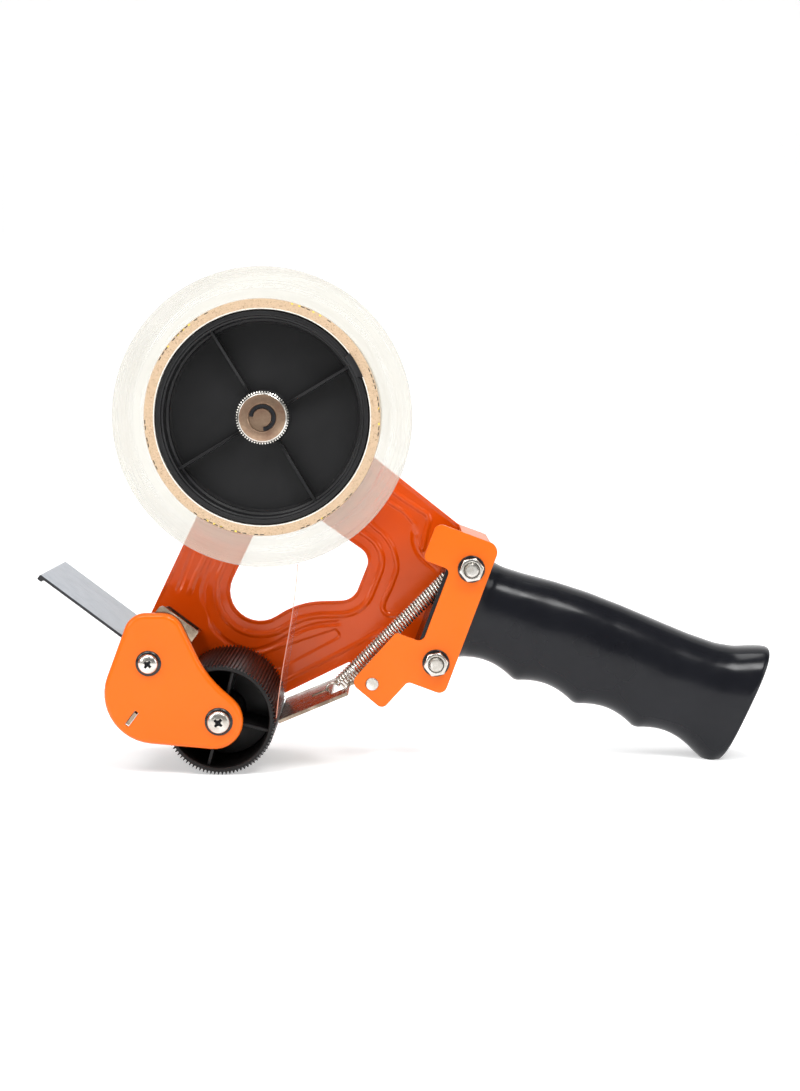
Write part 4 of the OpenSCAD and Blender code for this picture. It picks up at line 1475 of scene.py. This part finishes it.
@dataclass
class PressRoller:
    """The ribbed roller that presses the tape down."""

    body: str = "roller"
    root: float = 19.1
    tip: float = 20.0
    ribs: int = 90
    half: float = 24.5
    bore: float = 17.6
    spokes: int = 4

    def build(self) -> bpy.types.Object:
        """Builds the roller: its shell, ribs and spokes."""
        h, r = self.half, self.bore
        profile = [(self.root, -h + 0.3), (self.root - 0.3, -h), (r + 0.35, -h), (r, -h + 0.35),
                   (r - 0.25, -1.4), (r - 0.6, -1), (7.4, -1), (7, -1.4), (7, -h + 0.2), (6.8, -h),
                   (5.02, -h)]
        profile += [(q, -y) for q, y in reversed(profile)]
        shell = FINISHES.dress(shade(lathe("shell", profile, BENCH.roller, 180), 40),
                               ROLLER_PLASTIC)
        rib = self.rib()
        RING.spread(rib, ROLLER_PLASTIC, self.ribs, BENCH.roller)
        spoke = self.spoke()
        RING.spread(spoke, ROLLER_PLASTIC, self.spokes, BENCH.roller, first=75)
        return finish_piece(joined("roller_moulding", [shell, rib, spoke]), self.body,
                            ["press_roller"])

    def rib(self) -> bpy.types.Object:
        """One rib at angle 0."""
        x0, z0 = BENCH.roller
        section = [(self.root - 0.25, -0.44), (self.root + 0.1, -0.34), (self.tip - 0.14, -0.17),
                   (self.tip, -0.07), (self.tip, 0.07), (self.tip - 0.14, 0.17),
                   (self.root + 0.1, 0.34), (self.root - 0.25, 0.44)]
        return shade(slab("rib", [(x0 + x, z0 + z) for x, z in section], -self.half + 0.05,
                          self.half - 0.05), 40)

    def spoke(self) -> bpy.types.Object:
        """One spoke at angle 0, thinner towards its edge."""
        x0, z0 = BENCH.roller
        ring = [(x0 + x, z0 + z) for x, z in ((6.5, -0.6), (self.bore + 0.3, -0.6),
                                              (self.bore + 0.3, 0.6), (6.5, 0.6))]
        return bevelled(slab("spoke", ring, -self.half + 3, self.half - 3), 0.3, 2)


# ---------------------------------------------------------------- reel


@dataclass
class Reel:
    """The hub, its core and the wound tape, with the brake in front."""

    body: str = "reel"
    tape_outer: float = 53.0
    core_outer: float = 41.8
    core_bore: float = 38.1
    half: float = 24.0
    turns: int = 44
    teeth: int = 60
    hub_ribs: int = 4
    brake_turns: int = 4
    brake_radius: float = 5.5
    detent: Point = (22, 37)

    def build(self) -> list[bpy.types.Object]:
        """Builds the tape, core, hub, knob, clip and brake spring."""
        return [self.tape(), self.core(), self.hub(), self.knob(), self.clip(), self.brake_spring()]

    def tape(self) -> bpy.types.Object:
        """The wound tape: turns that lie a little in and out of line."""
        rng = np.random.default_rng(11)
        radii = np.linspace(self.core_outer + 0.03, self.tape_outer - 0.35, self.turns)
        drift = np.convolve(rng.normal(0, 1, self.turns + 6), np.ones(7) / 7, "valid") * 0.09
        step = rng.uniform(-0.025, 0.025, self.turns)
        near = [(float(r), -self.half + 0.12 + abs(float(d + j)))
                for r, d, j in zip(radii, drift, step)]
        rim = [(self.tape_outer - 0.12, -self.half + 0.2), (self.tape_outer, -self.half + 0.45)]
        far = [(r, -y) for r, y in reversed(near + rim)]
        obj = shade(lathe("wound_tape", near + rim + far, (0, 0), 220), 60)
        FINISHES.dress(obj, TAPE_FILM)
        return finish_piece(obj, self.body, ["tape_roll"])

    def core(self) -> bpy.types.Object:
        """The paperboard core, with its lighter lining and printed marks."""
        a, b, h = self.core_bore, self.core_outer, self.half
        board = lathe("board", [(a + 0.35, -h), (b - 0.1, -h), (b - 0.02, -h + 0.1),
                                (b - 0.02, h - 0.1), (b - 0.1, h), (a + 0.35, h)], (0, 0), 200)
        FINISHES.dress(shade(board, 30), CORE_PAPER)
        lining = lathe("lining", [(a, -h + 0.15), (a + 0.1, -h - 0.02), (a + 0.42, -h - 0.02),
                                  (a + 0.42, h + 0.02), (a + 0.1, h + 0.02), (a, h - 0.15)], (0, 0),
                       200)
        FINISHES.dress(shade(lining, 30), CORE_LINING)
        marks = [self.mark(b - 0.42, 1.5, 0.34, PRINT_BLACK, first, 2.9, count, seed)
                 for first, count, seed in ((52, 9, 3), (118, 12, 5), (182, 9, 8), (232, 14, 12),
                                            (290, 11, 4), (352, 12, 9))]
        marks += [self.mark(b - 0.5, 0.8, 0.5, PRINT_YELLOW, first, 3.7, count, seed)
                  for first, count, seed in ((60, 5, 2), (128, 5, 6), (238, 6, 7), (297, 5, 3),
                                             (357, 4, 5))]
        return finish_piece(joined("core_tube", [board, lining, *marks]), self.body, ["tape_core"])

    def mark(self, radius: float, length: float, width: float, finish: Finish, first: float,
             step: float, count: int, seed: int) -> bpy.types.Object:
        """A run of printed dashes near the core's outer edge.

        Args:
            radius: radius of the run.
            length: length of one dash.
            width: width of one dash.
            finish: the print's finish.
            first: the first angle in degrees.
            step: degrees between dashes.
            count: how many steps.
            seed: picks the dashes that show.

        Returns:
            The dashes.
        """
        h = self.half
        ring = [(radius - width / 2, -length / 2), (radius + width / 2, -length / 2 * 0.9),
                (radius + width / 2, length / 2), (radius - width / 2, length / 2 * 0.8)]
        dash = slab("dash", ring, -h - 0.03, -h + 0.06)
        return RING.spread(dash, finish, count, (0, 0), first, step, 0.72, seed)

    def hub(self) -> bpy.types.Object:
        """The hub's drum, web, boss and ribs."""
        h = self.half
        profile = [(37.6, -h + 0.1), (37.35, -h - 0.25), (36.3, -h - 0.3), (36.0, -h - 0.05),
                   (35.75, -h + 1.5), (35.2, -h + 1.9), (35.0, -15.2), (34.2, -14.6), (34.0, -12.8),
                   (33.2, -12), (9.8, -12), (9.2, -12.5), (9.0, -13.6), (8.7, -14), (6.02, -14),
                   (6.02, h), (9, h), (9, -9.7), (9.4, -9.4), (34.8, -9.4), (35.2, -9),
                   (35.2, h + 1), (40.1, h + 1), (40.1, h + 0.15), (37.6, h + 0.15)]
        drum = FINISHES.dress(shade(lathe("drum", profile, (0, 0), 200), 38), HUB_PLASTIC)
        side = [(9.2, -11.6), (9.2, -14.2), (14.0, -16.0), (24.0, -18.6), (35.4, -19.8),
                (35.4, -11.6)]
        rib = bevelled(prism("rib", *([BENCH.at(x, y, z) for x, y in side] for z in (-0.5, 0.5))),
                       0.2, 2)
        RING.spread(rib, HUB_PLASTIC, self.hub_ribs, (0, 0), first=30.5, step=90.4)
        tab = lathe("detent", [(36.1, -h - 0.2), (37.0, -h - 0.7), (38.3, -h - 0.65),
                               (38.5, -h - 0.1), (37.5, -h + 1.2), (36.1, -h + 1.2)], (0, 0), 360)
        middle = BENCH.at(0, 0, 0)
        with editing(tab) as bm:
            away = [v for v in bm.verts if not self.detent[0] < math.degrees(
                math.atan2(v.co.z - middle.z, v.co.x - middle.x)) < self.detent[1]]
            bmesh.ops.delete(bm, geom=away, context="VERTS")
            bmesh.ops.holes_fill(bm, edges=[e for e in bm.edges if e.is_boundary])
            bmesh.ops.recalc_face_normals(bm, faces=bm.faces)
        FINISHES.dress(shade(tab, 40), HUB_PLASTIC)
        return finish_piece(joined("hub_moulding", [drum, rib, tab]), self.body, ["tape_hub"])

    def knob(self) -> bpy.types.Object:
        """The knurled brake knob, with a recess for the clip."""
        near, far = BENCH.depth("tension_knob", Side.NEAR), BENCH.depth("tension_knob", Side.FAR)
        profile = [(5.0, near + 1.2), (5.05, near + 0.15), (5.25, near), (8.25, near),
                   (8.5, near + 0.12), (9.0, near + 0.75), (9.05, near + 2.4), (8.9, near + 2.6),
                   (8, near + 2.7), (8, far - 0.3), (7.7, far), (3.3, far), (3.3, near + 1.2)]
        disc = FINISHES.dress(shade(lathe("disc", profile, (0, 0), 120), 30), KNOB_NICKEL)
        disc.data.materials.append(FINISHES.get(ZINC))
        for poly in disc.data.polygons:
            away = Vector((poly.center.x - BENCH.spindle.x,
                           poly.center.z - BENCH.spindle.z)).length / MM
            poly.material_index = 1 if away > 8.3 else 0
        tooth = slab("tooth", [(8.2, -0.27), (9.3, -0.22), (9.5, 0), (9.3, 0.22), (8.2, 0.27)],
                     near + 0.3, near + 2.45)
        edge_x, face_y = BENCH.at(9.0, 0, 0).x, BENCH.at(0, near + 1, 0).y
        with editing(tooth) as bm:
            for v in bm.verts:
                if v.co.x > edge_x and v.co.y < face_y:
                    v.co.y += 0.5 * MM
        RING.spread(tooth, ZINC, self.teeth, (0, 0))
        return finish_piece(joined("knurled_knob", [disc, tooth]), "knob", ["tension_knob"])

    def clip(self) -> bpy.types.Object:
        """The E-shaped retaining clip in the spindle's groove."""
        near, far = BENCH.depth("e_clip", Side.NEAR), BENCH.depth("e_clip", Side.FAR)
        opening = math.radians(50)
        outer = [(4.75, a) for a in np.linspace(opening, 2 * math.pi - opening, 60)]
        inner = []
        prongs = (opening, math.radians(126), math.radians(234), 2 * math.pi - opening)
        for a in np.linspace(2 * math.pi - opening, opening, 120):
            prong = min(abs(a - b) for b in prongs)
            inner.append((2.45 if prong < 0.16 else 3.45, a))
        turn = math.radians(-135)
        ring = [(r * math.cos(a + turn), r * math.sin(a + turn)) for r, a in outer + inner]
        obj = bevelled(slab("retaining_clip", ring, near, far), 0.08, 2, 40)
        FINISHES.dress(obj, BLACK_CLIP_AND_RECESS_SHADE)
        return finish_piece(obj, "frame", ["e_clip"])

    def brake_spring(self) -> bpy.types.Object:
        """The coil between the knob and the thrust washer."""
        near = BENCH.depth("brake_spring", Side.NEAR) + 0.5
        far = BENCH.depth("brake_spring", Side.FAR) - 0.5
        per_turn = 24
        steps = per_turn * self.brake_turns
        r = self.brake_radius
        path = [BENCH.at(r * math.cos(a), near + (far - near) * k / steps, r * math.sin(a))
                for k, a in ((k, 2 * math.pi * k / per_turn) for k in range(steps + 1))]
        obj = WIRE.draw("brake_coil", path, 0.45, SPRING_WIRE)
        return finish_piece(obj, "frame", ["brake_spring"])


# ---------------------------------------------------------------- arm, spring, flap and blade


@dataclass
class RetainerArm:
    """The sprung arm that keeps the tape on the roller, and its spring."""

    low: Point = (25.6, -99.8)
    high: Point = (66.2, -59.2)
    coil_radius: float = 2.45
    wire: float = 0.43
    turns: int = 46
    hook: float = 2.6
    steps: int = 16

    def build(self) -> list[bpy.types.Object]:
        """Builds the arm, its pin and its spring."""
        arm = FINISHES.dress(softened("retainer_arm", "retainer_plate", 0.16, 2), NICKEL_PAINTED_REFLECTION)
        pin = FINISHES.dress(softened("pivot_pin", "arm_pin", 0.45, 3), ZINC)
        return [finish_piece(arm, "arm", ["retainer_arm"]),
                finish_piece(pin, "frame", ["pivot_pin"]), self.spring()]

    def spring(self) -> bpy.types.Object:
        """The tension spring, from its hook in the arm to its loop round the upper bolt."""
        y = (BENCH.depth("tension_spring", Side.NEAR) + BENCH.depth("tension_spring", Side.FAR)) / 2
        low, high = np.array(self.low), np.array(self.high)
        along = unit(high - low)
        across = np.array((-along[1], along[0]))
        length = float(np.linalg.norm(high - low))

        def point(s: float, n: float, depth: float) -> Vector:
            x, z = low + along * s + across * n
            return BENCH.at(x, y + depth, z)

        path = [point(self.hook * math.cos(a) - self.hook, self.hook * math.sin(a),
                      0.25 * math.sin(a))
                for a in np.linspace(math.radians(228), math.radians(-10), 26)]
        count = self.turns * self.steps
        for k in range(count + 1):
            t = k / count
            a = math.pi / 2 + 2 * math.pi * self.turns * t
            r = self.coil_radius
            path.append(point(0.8 + (length - 1.2) * t, r * math.cos(a), r * math.sin(a)))
        bolt = np.array(BENCH.upper_bolt) - low
        bolt_s, bolt_n = float(bolt @ along), float(bolt @ across)
        ring = abs(bolt_n)
        path += [point(bolt_s + ring * math.cos(a), bolt_n + ring * math.sin(a), 0.1)
                 for a in np.linspace(math.pi / 2 * 1.05, math.pi / 2 * 1.05 - math.radians(290),
                                      30)]
        obj = WIRE.draw("tension_coil", path, self.wire, SPRING_WIRE, 8)
        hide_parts("tension_spring")
        point(length * 0.92, 0, 0)
        point(-1.0, 0, 0)
        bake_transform(obj)
        LOG.info("%s: %d faces, from the frame to the arm", obj.name, len(obj.data.polygons))
        return obj


@dataclass
class WiperFlap:
    """The flexible flap that smooths the tape, and the plated bracket and blade."""

    thickness: float = 1.0
    half: float = 23.5
    root: float = 5.0
    tip: float = 49.8
    line: float = 0.6
    bend: Point = (13.0, 36.0)

    def build(self) -> list[bpy.types.Object]:
        """Builds the flap and the blade bracket."""
        bracket = FINISHES.dress(softened("blade_bracket", "blade_carrier", 0.2, 2), NICKEL_PAINTED_REFLECTION)
        blade = FINISHES.dress(softened("cutting_blade", "toothed_blade", 0.06, 1), BLADE_STEEL)
        return [self.flap(), finish_piece(bracket, "frame", ["blade_bracket"]),
                finish_piece(blade, "frame", ["cutting_blade"])]

    def flap(self) -> bpy.types.Object:
        """The flap, in strips fine enough to bend, with a turned lip at its tip."""
        u0, u1 = self.line, self.line + self.thickness
        top = [(u1, v) for v in np.linspace(self.root, self.tip - 0.4, 40)]
        tip = [(u1 - 0.1, self.tip - 0.12), (u1 - 0.35, self.tip), (u0 - 0.75, self.tip),
               (u0 - 0.95, self.tip - 0.2), (u0 - 1.0, self.tip - 0.5), (u0 - 1.0, self.tip - 1.6),
               (u0 - 0.85, self.tip - 1.9), (u0 - 0.3, self.tip - 2.0), (u0, self.tip - 2.3)]
        low = [(u0, v) for v in np.linspace(self.tip - 3.4, self.root, 38)]
        ring = [BENCH.blade(u, float(v)) for u, v in top + tip + low]
        obj = slab("wiper_sheet", ring, -self.half, self.half)
        bevelled(obj, 0.16, 2, 60)
        FINISHES.dress(obj, FLAP_TOP_PAINTED_REFLECTION)
        obj.data.materials.append(FINISHES.get(FLAP_EDGE))
        (px, pz), (qx, qz) = BENCH.blade(0, 0), BENCH.blade(1, 0)
        up = Vector((qx - px, 0, qz - pz))
        # Faces turned up along the blade get the blue-grey painted reflection; the rest keep the
        # flap's own black.
        for poly in obj.data.polygons:
            poly.material_index = 0 if poly.normal.dot(up) > 0.8 else 1
        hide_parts("wiper_flap")
        middle = self.line + self.thickness / 2
        (fx, fz), (ex, ez) = (BENCH.blade(middle, v) for v in self.bend)
        BENCH.at(fx, 0, fz)
        BENCH.at(ex, 0, ez)
        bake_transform(obj)
        LOG.info("%s: %d faces, from the frame to the flap", obj.name, len(obj.data.polygons))
        return obj


@dataclass
class TapeStrip:
    """The free end of the tape, from the roll down to the roller."""

    def build(self) -> bpy.types.Object:
        """Builds the strip; its near cut edges are more opaque and carry a pinkish painted tint
        that stands for the orange parts seen through the film.
        """
        obj = softened("tape_strip", "tape_end", 0.02, 1)
        obj.data.materials.clear()
        obj.data.materials.append(FINISHES.get(TAPE_SHEET))
        obj.data.materials.append(FINISHES.get(TAPE_EDGE_PAINTED_TINT))
        for poly in obj.data.polygons:
            poly.material_index = 1 if poly.normal.y < -0.5 else 0
        return finish_piece(obj, "frame", ["tape_strip"])


def dress_inner_parts() -> None:
    """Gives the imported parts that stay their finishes."""
    finishes: dict[str, Finish] = {
        "tie_rod": ZINC, "roller_axle": ZINC, "roller_bushes": NYLON, "blade_rivets": ZINC,
        "flap_holder": NICKEL_PAINTED_REFLECTION, "flap_rivets": ZINC, "spindle": KNOB_NICKEL,
        "friction_washer": WOOL_FELT, "hub_bush": NYLON, "thrust_washer": ZINC}
    for node, finish in finishes.items():
        FINISHES.dress(frame["nodes"][node], finish)
        LOG.info("%s: packed part in %s", node, finish.name)


# ---------------------------------------------------------------- stage


@dataclass(frozen=True)
class SoftBox:
    """A square area light aimed at the dispenser."""

    name: str
    place: tuple[float, float, float]
    size: float
    power: float

    def build(self, target: Vector) -> bpy.types.Object:
        """Builds the light."""
        data = bpy.data.lights.new(self.name, "AREA")
        data.shape = "SQUARE"
        data.size = self.size
        data.energy = self.power
        obj = linked(self.name, data)
        obj.location = self.place
        obj.rotation_euler = (target - obj.location).to_track_quat("-Z", "Y").to_euler()
        return obj


@dataclass
class Studio:
    """The pale floor and wall, the soft lights and the camera."""

    eye: tuple[float, float, float] = (-0.00177, -0.66031, 0.14108)
    forward: tuple[float, float, float] = (-0.00333, 1.0, -0.09194)
    lens: float = 59.4
    aim: tuple[float, float, float] = (0, 0, 0.09)
    ambient: float = 0.2
    glow: float = 0.42
    floor_back: float = 0.9
    wall_curve: float = 0.8
    floor_drop: float = 0.0002
    fade_from: float = -0.42
    fade_to: float = -1.1
    lights: tuple[SoftBox, ...] = (
        SoftBox("key_light", (-0.4, -0.66, 0.98), 0.5, 5.2),
        SoftBox("second_key", (0.33, -0.74, 0.98), 0.34, 5.6),
        SoftBox("left_light", (-0.86, -0.63, 0.46), 0.45, 3.0),
        SoftBox("right_light", (0.95, -0.5, 0.4), 0.5, 2.4),
        SoftBox("top_light", (0.05, 0.15, 1.1), 0.6, 4.5),
    )

    def build(self) -> None:
        """Builds the whole stage."""
        self.backdrop()
        self.world()
        target = Vector(self.aim)
        for light in self.lights:
            light.build(target)
        self.camera()

    def backdrop(self) -> None:
        """A pale floor that curves up into a wall and darkens well in front of the object."""
        back, r = self.floor_back, self.wall_curve
        line = [(-3.0, 0.0), (back, 0.0)]
        line += [(back + r * math.sin(a), r - r * math.cos(a))
                 for a in np.linspace(0.1, math.pi / 2, 14)]
        line += [(back + r, 4.0)]
        verts = [Vector((x, y, z - self.floor_drop)) for x in (-4.0, 4.0) for y, z in line]
        n = len(line)
        obj = new_object("pale_floor", verts, [(i, n + i, n + i + 1, i + 1) for i in range(n - 1)])
        shade(obj, 60)
        s = Surface("pale_floor")
        g = s.graph
        along = g.add("ShaderNodeSeparateXYZ", {"Vector": s.coords}).outputs["Y"]
        fade = g.span(along, self.fade_to, self.fade_from, 0.3, 1.0)
        cloud = g.ramp(g.noise(s.coords, 6, 2), 0.3, 0.7, (0.93, 0.93, 0.93), (0.9, 0.9, 0.9))
        pale = g.add("ShaderNodeVectorMath", {0: cloud, "Scale": fade},
                     operation="SCALE").outputs["Vector"]
        s.set(Base_Color=pale, Roughness=0.85, Emission_Color=(1, 1, 1, 1),
              Emission_Strength=g.math("MULTIPLY", fade, self.glow))
        obj.data.materials.append(s.material)

    def world(self) -> None:
        """Even white light from all round."""
        world = bpy.data.worlds.new("studio")
        world.use_nodes = True
        light = world.node_tree.nodes["Background"]
        light.inputs["Color"].default_value = (1, 1, 1, 1)
        light.inputs["Strength"].default_value = self.ambient
        bpy.context.scene.world = world
        bpy.context.scene.view_settings.view_transform = "Standard"

    def camera(self) -> None:
        """The camera, nearly square to the front cover."""
        data = bpy.data.cameras.new("view")
        data.sensor_fit = "VERTICAL"
        data.sensor_height = 36.0
        data.sensor_width = 36.0
        data.lens = self.lens
        data.clip_start = 0.01
        obj = linked("view", data)
        obj.location = self.eye
        obj.rotation_euler = Vector(self.forward).to_track_quat("-Z", "Y").to_euler()
        bpy.context.scene.camera = obj


def frame_pads() -> list[Corner]:
    """Places on the side frame that stay flat, as (x, z, radius)."""
    ear = BENCH.blade(8, 1)
    low_grip = BENCH.grip(-1, -20)
    return [(0, 0, 13), (*BENCH.roller, 7), (*BENCH.screw, 9), (*ear, 11), (*BENCH.pin, 6.5),
            (*BENCH.upper_bolt, 11), (*BENCH.lower_bolt, 9), (*low_grip, 11)]


def main() -> None:
    """Builds the stage and every sub-assembly in order."""
    logging.basicConfig(level=logging.INFO, format="%(name)s %(message)s")
    Studio().build()
    dress_inner_parts()
    SideFrame(pads=frame_pads()).build()
    FrontCover().build()
    Grip().build()
    PressRoller().build()
    Reel().build()
    RetainerArm().build()
    WiperFlap().build()
    TapeStrip().build()
    bpy.context.view_layer.update()


if __name__ == "__main__":
    main()
